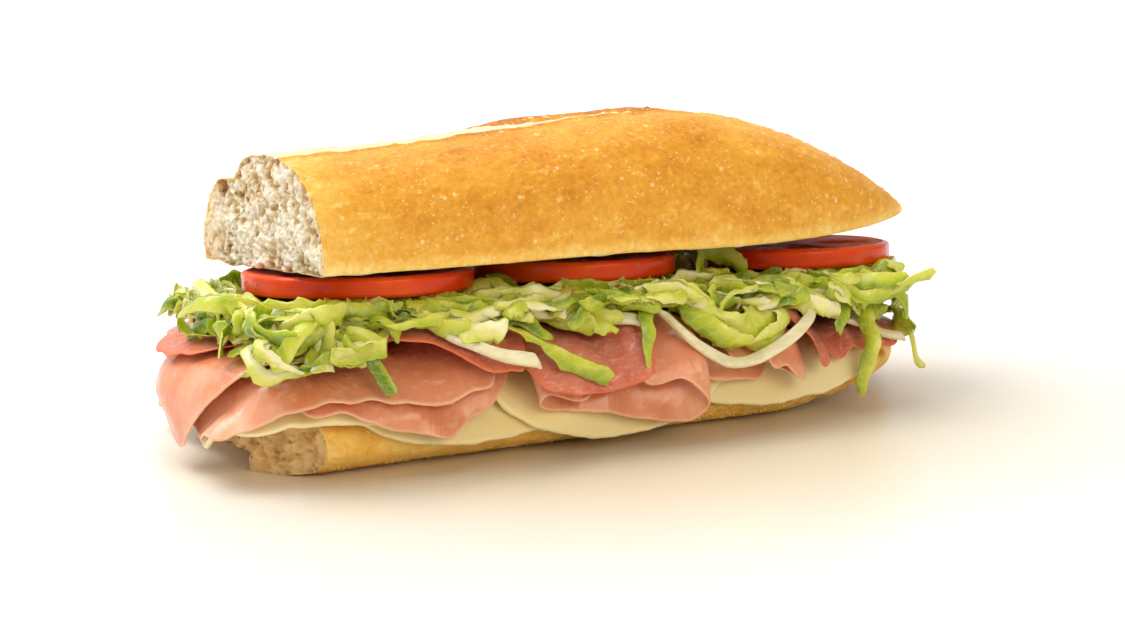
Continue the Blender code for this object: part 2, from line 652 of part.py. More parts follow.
def onion_outline(path):
    """The band of an onion arc: its outer edge, and the same edge moved inwards."""
    points = rounded_path(path, 7)
    along = np.gradient(points, axis=0)
    along /= np.linalg.norm(along, axis=1)[:, None]
    inward = np.stack([-along[:, 1], along[:, 0]], 1)
    return [tuple(p) for p in points] + [tuple(p) for p in (points + inward * ONION_WIDTH)[::-1]]


def fold_outline(front, back_v, length):
    corner_v = back_v - 0.006
    back = [(0.98 * length, corner_v), (0.5 * length, back_v), (0.02 * length, corner_v)]
    scale = length / front[-1][0]
    return [(u * scale, v) for u, v in front] + back


def make_slices(pile, home, looks):
    cheese, ham, cured, onion = (looks[k] for k in ("cheese", "ham", "cured", "onion"))
    for name, outline in CHEESES:
        add_slice(name, outline, CHEESE_THICKNESS, pile, home, cheese)
    add_slice("ham_3", HAM_C, HAM_THICKNESS, pile, home, ham,
              lift=bump(*HAM_C_LIFT))
    add_slice("ham_2", HAM_B, HAM_THICKNESS, pile, home, ham)
    add_slice("ham_5", HAM_UNDER_ONION, HAM_THICKNESS, pile, home, ham)
    section, length = folded_path(FOLD_SECTION)
    add_slice("ham_4", fold_outline(FOLD_FRONT, FOLD_BACK_V, length), HAM_THICKNESS, pile, home,
              ham, path=section, shut=FOLD_SHUT, column=0.0060, count=34)
    add_slice("cured_2", CURED_MIDDLE, CURED_THICKNESS, pile, home, cured)
    add_slice("ham_1", HAM_A, HAM_THICKNESS, pile, home, ham,
              lift=bump(*HAM_A_LIFT))
    add_slice("cured_1", CURED_LEFT, CURED_THICKNESS, pile, home, cured,
              lift=bump(*CURED_LEFT_LIFT))
    section, length = folded_path(CORNER_SECTION)
    add_slice("ham_6", fold_outline(CORNER_FRONT, CORNER_BACK_V, length), HAM_THICKNESS, pile,
              home, ham, path=section, shut=CORNER_SHUT, column=0.0045, count=30)
    add_slice("cured_3", CURED_RIGHT, CURED_THICKNESS, pile, home, cured,
              lift=frill(*CURED_RIGHT_FRILL), column=0.006)
    for name, path in ONIONS:
        add_slice(name, onion_outline(path), ONION_HEIGHT, pile, home, onion, count=20)


def tomato_underside(x, y):
    return through(x, TOMATO_UNDERSIDE) - y * math.tan(TOMATO_ROLL)


def make_tomatoes(home, look):
    """Round slices with a bevelled rim, rolled backwards with the top bread."""
    (left_x, left_z), (right_x, right_z) = TOMATO_UNDERSIDE[1], TOMATO_UNDERSIDE[-2]
    slope = (right_z - left_z) / (right_x - left_x)
    for number, (x, y, diameter) in enumerate(TOMATOES, 1):
        bm = bmesh.new()
        bmesh.ops.create_cone(bm, cap_ends=True, segments=32, radius1=0.5 * diameter,
                              radius2=0.5 * diameter, depth=TOMATO_THICKNESS)
        made = add_mesh(f"tomato_{number}", bm, home, look)
        rim = made.modifiers.new("rim", "BEVEL")
        rim.width = TOMATO_RIM
        rim.segments = 2
        rim.limit_method = "ANGLE"
        middle = float(tomato_underside(x, y)) + 0.5 * TOMATO_THICKNESS
        made.location = (x, y, middle)
        made.rotation_euler = (-TOMATO_ROLL, -math.atan(slope), 0.0)


def core_outline():
    corners = ((CORE_START, -0.012), (CORE_START + 0.008, CORE_FRONT + 0.002),
               (-0.060, CORE_FRONT), (0.000, CORE_FRONT), (CORE_END - 0.012, CORE_FRONT + 0.003),
               (CORE_END, -0.010), (CORE_END - 0.002, 0.014), (CORE_END - 0.018, CORE_BACK - 0.004),
               (0.000, CORE_BACK), (-0.060, CORE_BACK), (CORE_START + 0.010, CORE_BACK - 0.004),
               (CORE_START, 0.012))
    return rounded_loop(corners, 44)


def make_core(pile, helpers, look):
    """The inner heap: its underside follows the slices, its top the tomatoes."""
    bm = cut_outline(core_outline(), np.arange(CORE_START + CORE_STEP, CORE_END, 2 * CORE_STEP))
    flat = np.array([vert.co for vert in bm.verts])
    triangles = [tuple(vert.index for vert in face.verts) for face in bm.faces]
    rim = [(e.verts[0].index, e.verts[1].index) for e in bm.edges if e.is_boundary]
    bm.free()
    x, v = flat[:, 0], flat[:, 1]
    n = pile.under(x, v) - CORE_LEAST
    n += pile.rise(x, v, n, np.array(triangles), CORE_CLEARANCE)
    bottom = drape(x, v, n)
    top = bottom.copy()
    lumps = np.array([relief(a, b, 0.0, *CORE_LUMPS) for a, b in zip(x, v)])
    ceiling = tomato_underside(top[:, 0], top[:, 1]) - CORE_CLEARANCE
    full = ceiling - CORE_ROOM
    shoulder = ramp(np.abs(v), SHOULDER - 0.004, -CORE_FRONT + 0.003)
    wanted = np.maximum(full - CORE_SLUMP * shoulder + lumps, bottom[:, 2] + CORE_THICKNESS)
    top[:, 2] = np.maximum(np.minimum(wanted, ceiling), bottom[:, 2] + CORE_LEAST)
    solid = bmesh.new()
    low = [solid.verts.new(p) for p in bottom]
    high = [solid.verts.new(p) for p in top]
    for a, b, c in triangles:
        solid.faces.new((high[a], high[b], high[c]))
        solid.faces.new((low[c], low[b], low[a]))
    for a, b in rim:
        solid.faces.new((low[a], low[b], high[b], high[a]))
    bmesh.ops.recalc_face_normals(solid, faces=solid.faces)
    return add_mesh("lettuce_core", solid, helpers, look)


# The shreds that hang in front, as (path of x, y, z in millimetres, width in millimetres)
SHREDS = (
    (((-100, -20, 38), (-101, -31, 40), (-98, -37, 40), (-97, -39, 34), (-101, -39, 29)), 5.0),
    (((-86, -22, 37), (-88, -32, 39), (-87, -39, 33), (-85, -41, 26), (-83, -42, 20)), 4.0),
    (((-84, -22, 36), (-82, -34, 39), (-79, -39, 37), (-78, -37, 31)), 3.6),
    (((-56, -22, 37), (-56, -34, 39), (-46, -38, 34), (-38, -40, 28)), 5.0),
    (((-58, -24, 32), (-50, -37, 28), (-40, -41, 23), (-30, -43, 19), (-26, -44, 17)), 4.2),
    (((-8, -20, 32), (-9, -34, 30), (-12, -39, 24), (-16, -42, 17)), 3.8),
    (((4, -22, 33), (3, -36, 30), (8, -42, 24), (17, -43, 21)), 6.0),
    (((17, -43, 21), (27, -40, 22), (29, -38, 28), (20, -30, 31)), 5.5),
    (((46, -22, 32), (50, -36, 31), (49, -39, 25), (44, -41, 20)), 4.2),
    (((60, -20, 30), (59, -33, 29), (58, -40, 20), (56, -41, 12), (55, -41, 5)), 4.2),
    (((62, -18, 34), (70, -28, 38), (75, -28, 32), (74, -30, 24), (76, -31, 19)), 8.0),
    (((66, -12, 28), (76, -26, 22), (75, -30, 16), (73, -32, 11), (77, -33, 7)), 3.0),
    (((-96, -10, 36), (-113, -10, 41), (-117, 2, 38), (-117, 6, 33), (-113, -2, 30),
      (-102, -10, 30)), 4.0),
    (((-100, -20, 32), (-112, -27, 34), (-115, -33, 31), (-112, -36, 28), (-104, -37, 29)), 4.2),
    (((-98, -6, 32), (-111, -14, 36), (-116, -18, 34), (-117, -19, 29)), 4.6),
    (((-74, -22, 36), (-72, -33, 37), (-66, -38, 33), (-60, -38, 30)), 4.6),
    (((-30, -22, 35), (-28, -33, 36), (-22, -38, 32), (-17, -37, 28)), 5.0),
    (((-16, -20, 34), (-14, -33, 37), (-5, -36, 35), (2, -34, 33)), 5.0),
    (((30, -22, 33), (34, -33, 34), (41, -37, 30), (44, -36, 25)), 4.8),
    (((-70, -22, 33), (-79, -34, 33), (-86, -38, 29)), 4.2),
    (((-40, -22, 32), (-33, -35, 31), (-25, -38, 27)), 4.6),
    (((62, -4, 32), (76, -10, 34), (81, -2, 29), (79, 4, 24)), 6.0),
    (((40, 10, 31), (56, 29, 32), (58, 37, 25)), 5.0),
    (((34, 20, 33), (30, 33, 33), (24, 38, 26)), 5.0),
    (((2, 20, 34), (-4, 33, 33), (-6, 39, 26), (-2, 40, 20)), 4.6),
    (((-26, 20, 34), (-30, 33, 34), (-38, 38, 27)), 5.0),
    (((-56, 20, 35), (-60, 33, 34), (-56, 39, 27), (-52, 41, 20)), 4.6),
    (((-84, 20, 35), (-88, 33, 34), (-95, 37, 28)), 5.0),
)
SHRED_STATIONS = 7


def clear_of_pile(point, pile):
    """Moves a point clear of the slices, and inside the loaf also clear of the tomatoes."""
    x, v, n = undrape(point)
    highest = float(pile.crest[pile.cell(np.array(x), np.array(v))])
    short = highest + CORE_CLEARANCE + 0.5 * RIBBON_THICKNESS - n
    moved = np.array(point, float)
    if short > 0.0:
        flat_x = max(x, STRAIGHT_FROM)
        moved += drape(flat_x, v, n + short) - drape(flat_x, v, n)
    if abs(moved[1]) < CORE_BACK:
        ceiling = float(tomato_underside(moved[0], moved[1]))
        moved[2] = min(moved[2], ceiling - CORE_CLEARANCE - RIBBON_THICKNESS)
    return moved


def make_shred(number, corners, width, pile, helpers, look):
    """One curled strip of leaf, three points wide, the same triangles on both faces."""
    draw = np.random.default_rng(LETTUCE_SEED + number)
    centre = rounded_path(np.array(corners) * 0.001, SHRED_STATIONS)
    centre = np.array([clear_of_pile(point, pile) for point in centre])
    along = np.gradient(centre, axis=0)
    along /= np.linalg.norm(along, axis=1)[:, None]
    tilt = draw.uniform(-RIBBON_TILT, RIBBON_TILT)
    turn = tilt + np.linspace(0.0, draw.uniform(-RIBBON_TWIST, RIBBON_TWIST), SHRED_STATIONS)
    solid = bmesh.new()
    rings = []
    for k in range(SHRED_STATIONS):
        side = 1.0 if centre[k][1] > REAR_RIBBONS_FROM else -1.0
        outward = np.array([RIBBON_LEAN[0] * math.sin(turn[k]), side, RIBBON_LEAN[1]])
        across = np.cross(along[k], outward)
        across /= max(np.linalg.norm(across), 1e-6)
        normal = np.cross(across, along[k])
        across = across * math.cos(turn[k]) + normal * math.sin(turn[k])
        normal = np.cross(across, along[k])
        fullness = 0.75 + 0.25 * math.sin(math.pi * k / (SHRED_STATIONS - 1))
        narrow = 0.5 * width * 0.001 * fullness
        sides = [centre[k] + across * narrow * w + normal * RIBBON_CUP * (1 - abs(w))
                 for w in (-1.0, 0.0, 1.0)]
        sides = [clear_of_pile(point, pile) for point in sides]
        half = 0.5 * RIBBON_THICKNESS
        rings.append([solid.verts.new(p + normal * half) for p in sides]
                     + [solid.verts.new(p - normal * half) for p in sides[::-1]])
    for a, b in zip(rings, rings[1:]):
        for i in range(6):
            j = (i + 1) % 6
            solid.faces.new((a[i], a[j], b[j], b[i]))
    for ring in (rings[0][::-1], rings[-1]):
        solid.faces.new((ring[0], ring[1], ring[4], ring[5]))
        solid.faces.new((ring[1], ring[2], ring[3], ring[4]))
    bmesh.ops.recalc_face_normals(solid, faces=solid.faces)
    bmesh.ops.triangulate(solid, faces=solid.faces[:])
    return add_mesh(f"shred_{number}", solid, helpers, look)


def keep_largest_body(mesh):
    """Drops loose scraps and fills sealed hollows: only the largest closed surface stays."""
    bm = bmesh.new()
    bm.from_mesh(mesh)
    bodies, seen = [], set()
    for face in bm.faces:
        if face in seen:
            continue
        body, waiting = [], [face]
        seen.add(face)
        while waiting:
            current = waiting.pop()
            body.append(current)
            for edge in current.edges:
                for other in edge.link_faces if len(edge.link_faces) == 2 else ():
                    if other not in seen:
                        seen.add(other)
                        waiting.append(other)
        bodies.append(body)
    bodies.sort(key=len)
    loose = [face for body in bodies[:-1] for face in body]
    bmesh.ops.delete(bm, geom=loose, context="FACES")
    bm.to_mesh(mesh)
    bm.free()


def make_lettuce(pile, home, helpers, look):
    """A core between the slices and the tomatoes, with the shreds that show fused on."""
    core = make_core(pile, helpers, look)
    shreds = bpy.data.collections.new("shreds")
    helpers.children.link(shreds)
    for number, (corners, width) in enumerate(SHREDS):
        make_shred(number, corners, width, pile, shreds, look)
    join = core.modifiers.new("join", "BOOLEAN")
    join.operation = "UNION"
    join.operand_type = "COLLECTION"
    join.collection = shreds
    join.solver = "MANIFOLD"
    bpy.context.view_layer.update()
    graph = bpy.context.evaluated_depsgraph_get()
    mesh = bpy.data.meshes.new_from_object(core.evaluated_get(graph))
    for old in list(shreds.objects) + [core]:
        bpy.data.objects.remove(old, do_unlink=True)
    bpy.data.collections.remove(shreds)
    keep_largest_body(mesh)
    mesh.name = "lettuce"
    lettuce = bpy.data.objects.new("lettuce", mesh)
    home.objects.link(lettuce)
    return lettuce


def main():
    clear_scene()
    home = collection("submarine_sandwich")
    helpers = collection("helpers", helpers=True)
    looks = {"crust": material("crust", (0.72, 0.36, 0.09), 0.55),
             "cheese": material("cheese", (0.86, 0.68, 0.38), 0.40),
             "ham": material("ham", (0.72, 0.30, 0.21), 0.35),
             "cured": material("cured", (0.62, 0.17, 0.12), 0.38),
             "onion": material("onion", (0.83, 0.78, 0.60), 0.30),
             "lettuce": material("lettuce", (0.50, 0.62, 0.10), 0.40),
             "tomato": material("tomato", (0.62, 0.05, 0.02), 0.25)}
    make_base(home, helpers, looks["crust"])
    pile = Pile()
    make_slices(pile, home, looks)
    make_lettuce(pile, home, helpers, looks["lettuce"])
    make_tomatoes(home, looks["tomato"])
    make_crown(home, looks["crust"])


main()
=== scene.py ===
# %% [markdown]
# # Half of a submarine sandwich
# This lesson dresses a imported model of a submarine sandwich, cut across at one end. The model gives
# the sizes: every slice, the heap of lettuce and both halves of the roll are already solids there.
# Here each of them gets the surface of real food. We start with the model itself, which stays as it
# is.

# %% Load the model
import itertools
import math

import bmesh
import bpy
import numpy as np
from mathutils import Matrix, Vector


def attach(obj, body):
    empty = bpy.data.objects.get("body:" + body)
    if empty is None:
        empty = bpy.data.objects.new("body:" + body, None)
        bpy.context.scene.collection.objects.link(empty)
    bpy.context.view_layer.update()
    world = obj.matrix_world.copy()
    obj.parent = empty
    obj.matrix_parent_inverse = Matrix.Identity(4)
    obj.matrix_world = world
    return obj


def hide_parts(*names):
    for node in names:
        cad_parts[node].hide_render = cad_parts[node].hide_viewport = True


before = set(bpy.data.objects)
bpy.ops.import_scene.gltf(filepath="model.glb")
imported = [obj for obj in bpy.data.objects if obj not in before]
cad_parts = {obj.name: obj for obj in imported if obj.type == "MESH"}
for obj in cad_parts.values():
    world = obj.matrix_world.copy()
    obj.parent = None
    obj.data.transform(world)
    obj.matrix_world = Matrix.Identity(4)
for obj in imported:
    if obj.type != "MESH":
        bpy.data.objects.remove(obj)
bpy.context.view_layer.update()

BODY = "root"

# %% [markdown]
# Food is never regular, so nearly every step below needs noise. Blender has a noise function for one
# point at a time. We will move hundreds of thousands of points, so this is the same gradient noise
# written for whole arrays: each corner of a unit cell has a random slope, and the eight slopes are
# blended. A seeded table keeps it the same in each run.

# %% Noise for whole arrays of points
shuffled = np.random.default_rng(11).permutation(256)
SLOPES = np.random.default_rng(12).normal(size=(256, 3))
SLOPES /= np.linalg.norm(SLOPES, axis=1)[:, None]


def noise_at(points, scale, octaves=1):
    """Gradient noise, about -1 to 1, for an array of points; scale is the size of its lumps."""
    points = np.asarray(points, float) / scale
    total = np.zeros(points.shape[:-1])
    for octave in range(octaves):
        p = points * 2.0**octave + 31.7 * octave
        cell = np.floor(p).astype(np.int64)
        f = p - cell
        w = f * f * f * (f * (f * 6 - 15) + 10)
        for corner in itertools.product((0, 1), repeat=3):
            at = cell + corner
            key = shuffled[(at[..., 0] + shuffled[(at[..., 1] + shuffled[at[..., 2] & 255]) & 255]) & 255]
            share = np.prod(np.where(corner, w, 1 - w), axis=-1)
            total += share * (SLOPES[key] * (f - corner)).sum(-1) * 1.6 / 2.0**octave
    return total


def noise_xy(a, b, scale, octaves=1, layer=0.0):
    """The same noise on a plane."""
    a, b = np.broadcast_arrays(np.asarray(a, float), np.asarray(b, float))
    return noise_at(np.stack([a, b, np.full(a.shape, layer)], -1), scale, octaves)


print("noise range:", np.round([noise_xy(np.arange(400) * 0.13, 0.5, 1.0, 3).min(),
                                noise_xy(np.arange(400) * 0.13, 0.5, 1.0, 3).max()], 2))

# %% [markdown]
# A few helpers for curves. `ramp` is a soft step, `through` a smooth line through a short table, and
# `rounded` turns the few corners of an outline into a smooth line with evenly spaced points, which is
# how a slice of meat or cheese is drawn below: with only the corners that its shape needs.

# %% Curves and steps
STEPS_BETWEEN_CORNERS = 14


def ramp(value, start, end):
    t = np.clip((np.asarray(value, float) - start) / (end - start), 0.0, 1.0)
    return t * t * (3.0 - 2.0 * t)


def through(value, table):
    places, heights = np.array(table).T
    value = np.clip(np.asarray(value, float), places[0], places[-1])
    slopes = np.gradient(heights, places)
    i = np.clip(np.searchsorted(places, value, side="right") - 1, 0, len(places) - 2)
    width = places[i + 1] - places[i]
    t = (value - places[i]) / width
    return ((2 * t**3 - 3 * t**2 + 1) * heights[i] + (t**3 - 2 * t**2 + t) * width * slopes[i]
            + (3 * t**2 - 2 * t**3) * heights[i + 1] + (t**3 - t**2) * width * slopes[i + 1])


def evenly(points, count):
    lengths = np.r_[0.0, np.cumsum(np.linalg.norm(np.diff(points, axis=0), axis=1))]
    wanted = np.linspace(0.0, lengths[-1], count)
    return np.stack([np.interp(wanted, lengths, points[:, k]) for k in range(points.shape[1])], 1)


def rounded(corners, count, closed=False):
    """Evenly spaced points on a smooth line through the corners."""
    corners = np.array(corners, float)
    if closed:
        padded = np.vstack([corners[-1:], corners, corners[:2]])
    else:
        padded = np.vstack([2 * corners[0] - corners[1], corners, 2 * corners[-1] - corners[-2]])
    steps = np.linspace(0.0, 1.0, STEPS_BETWEEN_CORNERS, endpoint=False)[:, None]
    dense = []
    for i in range(len(padded) - 3):
        before, a, b, after = padded[i:i + 4]
        dense.append(0.5 * (2 * a + (b - before) * steps
                            + (2 * before - 5 * a + 4 * b - after) * steps**2
                            + (3 * a - before - 3 * b + after) * steps**3))
    dense.append(padded[-2:-1])
    return evenly(np.vstack(dense), count + 1)[:-1] if closed else evenly(np.vstack(dense), count)


print("a quarter of the way up a ramp:", round(float(ramp(0.25, 0.0, 1.0)), 3))

# %% [markdown]
# Meshes come from arrays of points. A skin over a grid of points needs its faces listed once, and a
# named number on each point, such as how brown the crust is there, travels with the mesh as an
# attribute that a material can read.

# %% Meshes from arrays
def grid_faces(rows, columns, wrap=True, start=0):
    """Quads over rows x columns points that follow each other; wrap joins the last column to the first."""
    i, j = np.meshgrid(np.arange(rows - 1), np.arange(columns if wrap else columns - 1), indexing="ij")
    after = (j + 1) % columns
    quads = np.stack([i * columns + j, i * columns + after, (i + 1) * columns + after,
                      (i + 1) * columns + j], -1)
    return quads.reshape(-1, 4) + start


def fan_faces(first, count, middle):
    """Triangles from a ring of points, which starts at first, to one point in its middle."""
    return [(first + i, first + (i + 1) % count, middle) for i in range(count)]


def sheet_faces(rows, columns):
    """Faces of a thin closed sheet: rings of points and a middle point above, and the same below."""
    count = rows * columns + 1
    above = [tuple(f) for f in grid_faces(rows, columns)]
    above += fan_faces((rows - 1) * columns, columns, count - 1)
    below = [tuple(count + i for i in face[::-1]) for face in above]
    seam = [(i, count + i, count + (i + 1) % columns, (i + 1) % columns) for i in range(columns)]
    return above + below + seam


def put_in_scene(name, data):
    """An object for a mesh, a curve, a light or a camera."""
    made = bpy.data.objects.new(name, data)
    bpy.context.scene.collection.objects.link(made)
    return made


def as_piece(name, mesh, slot):
    """A finished mesh as an object that knows the slot of its material."""
    mesh.name = name
    mesh.shade_smooth()
    made = put_in_scene(name, mesh)
    made["slot"] = slot
    return made


def make_piece(name, points, faces, looks, slot, numbers=None, face_looks=None):
    """A mesh object with named numbers on its points and one or more materials."""
    mesh = bpy.data.meshes.new(name)
    mesh.from_pydata(np.asarray(points).tolist(), [], [list(map(int, f)) for f in faces])
    for look in looks:
        mesh.materials.append(look)
    if face_looks is not None:
        mesh.polygons.foreach_set("material_index", np.asarray(face_looks, np.int32))
    for key, values in (numbers or {}).items():
        attribute = mesh.attributes.new(key, "FLOAT", "POINT")
        attribute.data.foreach_set("value", np.asarray(values, np.float32))
    mesh.update()
    return as_piece(name, mesh, slot)


def face_out(made):
    """Turns the faces of a closed piece outwards."""
    bm = bmesh.new()
    bm.from_mesh(made.data)
    bmesh.ops.recalc_face_normals(bm, faces=bm.faces[:])
    bm.to_mesh(made.data)
    bm.free()
    return made


def settle(made, *nodes):
    """Gives a finished piece its body and hides the parts of the model that it stands for."""
    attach(made, BODY)
    if nodes:
        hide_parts(*nodes)
    print(made.name, len(made.data.polygons), "faces")
    return made


print("a tube of 3 rings of 4 points has", len(grid_faces(3, 4)), "faces")

# %% [markdown]
# Materials are node trees. These helpers keep them short: `shader_of` starts one, `add` puts in a node
# and sets its inputs, `mix` blends two colours, and `blend_by` colours by a number. Colours are
# written as the eye picks them from a screen and turned into linear light by `colour`.

# %% Helpers for materials
def colour(*eye):
    """A colour as 0-255 screen values, turned into linear light."""
    share = np.array(eye, float) / 255.0
    return (*np.where(share <= 0.04045, share / 12.92, ((share + 0.055) / 1.055) ** 2.4), 1.0)


def shader_of(name, base, roughness, subsurface=0.0, radius=(1.0, 0.4, 0.2), depth=0.002,
              coat=0.0, coat_roughness=0.1, ior=1.45):
    look = bpy.data.materials.new(name)
    look.use_nodes = True
    shader = look.node_tree.nodes["Principled BSDF"]
    values = {"Base Color": base, "Roughness": roughness, "Subsurface Weight": subsurface,
              "Subsurface Radius": radius, "Subsurface Scale": depth, "Coat Weight": coat,
              "Coat Roughness": coat_roughness, "IOR": ior}
    for key, value in values.items():
        shader.inputs[key].default_value = value
    return look, look.node_tree, shader


def add(tree, kind, inputs=None, **settings):
    node = tree.nodes.new(kind)
    for key, value in settings.items():
        setattr(node, key, value)
    for key, value in (inputs or {}).items():
        if isinstance(value, bpy.types.NodeSocket):
            tree.links.new(value, node.inputs[key])
        else:
            node.inputs[key].default_value = value
    return node


def place(tree, stretch=(1.0, 1.0, 1.0), shift=(0.0, 0.0, 0.0)):
    """Object coordinates, stretched and shifted."""
    at = add(tree, "ShaderNodeTexCoord")
    return add(tree, "ShaderNodeMapping", {"Vector": at.outputs["Object"], "Scale": stretch,
                                           "Location": shift}).outputs[0]


def noise_node(tree, at, scale, detail=3.0, roughness=0.55, distortion=0.0):
    return add(tree, "ShaderNodeTexNoise", {"Vector": at, "Scale": scale, "Detail": detail,
                                            "Roughness": roughness, "Distortion": distortion}).outputs["Fac"]


def number(tree, key):
    return add(tree, "ShaderNodeAttribute", attribute_name=key).outputs["Fac"]


def step(tree, value, low, high, to_low=0.0, to_high=1.0):
    """A soft step of a number."""
    return add(tree, "ShaderNodeMapRange", {"Value": value, "From Min": low, "From Max": high,
                                            "To Min": to_low, "To Max": to_high},
               interpolation_type="SMOOTHSTEP").outputs[0]


def mix(tree, share, a, b, how="MIX"):
    node = add(tree, "ShaderNodeMix", data_type="RGBA", blend_type=how)
    for socket, value in ((node.inputs[0], share), (node.inputs[6], a), (node.inputs[7], b)):
        if isinstance(value, bpy.types.NodeSocket):
            tree.links.new(value, socket)
        else:
            socket.default_value = value
    return node.outputs[2]


def maths(tree, how, a, b=0.0):
    node = add(tree, "ShaderNodeMath", operation=how)
    for socket, value in zip(node.inputs, (a, b)):
        if isinstance(value, bpy.types.NodeSocket):
            tree.links.new(value, socket)
        else:
            socket.default_value = value
    return node.outputs[0]


def blend_by(tree, value, *stops):
    """Colour by a number: stops are (place, colour)."""
    node = add(tree, "ShaderNodeValToRGB", {"Fac": value})
    ramp_of = node.color_ramp
    while len(ramp_of.elements) < len(stops):
        ramp_of.elements.new(0.5)
    for element, (where, shade) in zip(ramp_of.elements, stops):
        element.position = where
        element.color = shade
    return node.outputs["Color"]


def uneven(tree, value, cloud, share):
    """A number made uneven by some share of a noise."""
    return maths(tree, "ADD", value, maths(tree, "MULTIPLY", maths(tree, "SUBTRACT", cloud, 0.5), share))


def finish_look(tree, shader, base=None, roughness=None, bumps=()):
    """Links colour and roughness, and stacks bumps, each (height, distance, strength)."""
    if base is not None:
        tree.links.new(base, shader.inputs["Base Color"])
    if roughness is not None:
        tree.links.new(roughness, shader.inputs["Roughness"])
    normal = None
    for height, distance, strength in bumps:
        inputs = {"Height": height, "Distance": distance, "Strength": strength}
        if normal is not None:
            inputs["Normal"] = normal
        normal = add(tree, "ShaderNodeBump", inputs).outputs[0]
    if normal is not None:
        tree.links.new(normal, shader.inputs["Normal"])


print("middle grey in linear light:", round(colour(128, 128, 128)[0], 3))

# %% [markdown]
# The crust. A baked crust is brown where it stood closest to the heat and pale where it was shaded,
# under flour, or torn open late in the oven. The numbers `bake` and `pale` are worked out on the
# mesh; the material turns them into colour and adds what is too fine for a mesh: speckles, tiny
# blisters and a slight sheen. It would be easy to get a crust too orange, so its stops stay golden.

# %% Crust and crumb materials
def crust_look():
    look, tree, shader = shader_of("golden_crust", colour(226, 160, 66), 0.5, 0.08, (1.0, 0.6, 0.3),
                                   0.0015, ior=1.4)
    at = place(tree)
    soft = noise_node(tree, at, 42.0, 4.0)
    fine = noise_node(tree, at, 650.0, 3.0, 0.7)
    grain = noise_node(tree, place(tree, (0.6, 1.0, 1.0)), 210.0, 4.0, 0.65)
    bake = number(tree, "bake")
    for cloud, share in ((soft, 0.55), (fine, 0.62), (grain, 0.50)):
        bake = uneven(tree, bake, cloud, share)
    base = blend_by(tree, bake, (0.0, colour(252, 224, 142)), (0.25, colour(246, 198, 96)),
                    (0.5, colour(234, 170, 56)), (0.75, colour(216, 144, 34)), (1.0, colour(176, 102, 22)))
    # Tiny blisters dry out pale: many of half a millimetre, a few three times as wide.
    for scale, wide, narrow, often, seldom, share in ((850.0, 0.36, 0.14, 0.50, 0.60, 0.50),
                                                      (330.0, 0.26, 0.12, 0.56, 0.64, 0.55),
                                                      (140.0, 0.17, 0.09, 0.55, 0.62, 0.60)):
        cell = add(tree, "ShaderNodeTexVoronoi", {"Vector": at, "Scale": scale, "Randomness": 1.0})
        chosen = maths(tree, "MULTIPLY", step(tree, cell.outputs["Distance"], wide, narrow),
                       step(tree, noise_node(tree, at, 0.4 * scale, 2.0), often, seldom))
        base = mix(tree, maths(tree, "MULTIPLY", chosen, share), base, colour(254, 234, 178))
    torn = noise_node(tree, place(tree, (0.35, 1.0, 1.0)), 420.0, 4.0, 0.7)
    flour = maths(tree, "MULTIPLY", number(tree, "pale"), step(tree, torn, 0.22, 0.50, 0.72, 1.0))
    band = blend_by(tree, torn, (0.3, colour(238, 206, 140)), (0.6, colour(251, 236, 198)))
    base = mix(tree, flour, base, band)
    wave = noise_node(tree, at, 190.0, 3.0)
    finish_look(tree, shader, base, step(tree, fine, 0.2, 0.8, 0.40, 0.60),
                ((fine, 0.00025, 0.55), (wave, 0.0005, 0.35)))
    return look


def crumb_look():
    look, tree, shader = shader_of("open_crumb", colour(242, 232, 212), 0.85, 0.30, (1.0, 0.75, 0.5),
                                   0.0014, ior=1.35)
    at = place(tree)
    # Pores too small for the mesh: the middles of some cells of a Voronoi pattern, sunk by a bump and
    # painted dark as shade.
    push = maths(tree, "MULTIPLY", noise_node(tree, at, 300.0), 0.004)
    pushed = add(tree, "ShaderNodeVectorMath", {0: at, 1: push}, operation="ADD").outputs[0]
    cells = add(tree, "ShaderNodeTexVoronoi", {"Vector": pushed, "Scale": 620.0, "Randomness": 1.0})
    small = maths(tree, "MULTIPLY", step(tree, cells.outputs["Distance"], 0.55, 0.10),
                  step(tree, noise_node(tree, at, 260.0, 2.0), 0.42, 0.62))
    # Painted shade: deeper hollows and the small pores are coloured darker and browner.
    hollow_shade = maths(tree, "ADD", number(tree, "pore_shade"), maths(tree, "MULTIPLY", small, 0.32))
    base = blend_by(tree, hollow_shade, (0.0, colour(248, 238, 218)), (0.25, colour(234, 216, 182)),
                    (0.6, colour(206, 172, 120)), (1.0, colour(158, 116, 66)))
    # Toasting near the crust is real; on the bottom half's cut face the same tint is painted shade.
    tint = mix(tree, number(tree, "toast_and_shade"), base, mix(tree, 1.0, base, colour(248, 204, 112), "MULTIPLY"))
    finish_look(tree, shader, tint, None, ((maths(tree, "SUBTRACT", 1.0, small), 0.0009, 0.8),
                                           (noise_node(tree, at, 1500.0, 3.0, 0.7), 0.0004, 0.8),
                                           (noise_node(tree, at, 420.0, 3.0, 0.6), 0.0008, 0.5)))
    return look


crust = crust_look()
crumb = crumb_look()
print("materials:", crust.name, crumb.name)

# %% [markdown]
# The crumb at a cut is full of bubbles of very different sizes, torn open by the knife. A bump map
# can't cast the shadows that make it look open, so the bubbles are real hollows: each is a ball placed
# on the cut by a seeded draw, a few large and many small, and the surface sinks into whichever ball
# reaches deepest. The same depth paints shade into the crumb: the deeper, the darker and browner.

# %% Bubbles in the crumb
def bubbles(seed, low, high, sizes):
    """Bubble centres (y, z) and radii within a box; sizes are (radius, count)."""
    draw = np.random.default_rng(seed)
    made = []
    for radius, count in sizes:
        where = draw.uniform(low, high, (count, 2))
        made.append(np.c_[where, radius * draw.uniform(0.6, 1.4, count)])
    return np.vstack(made)


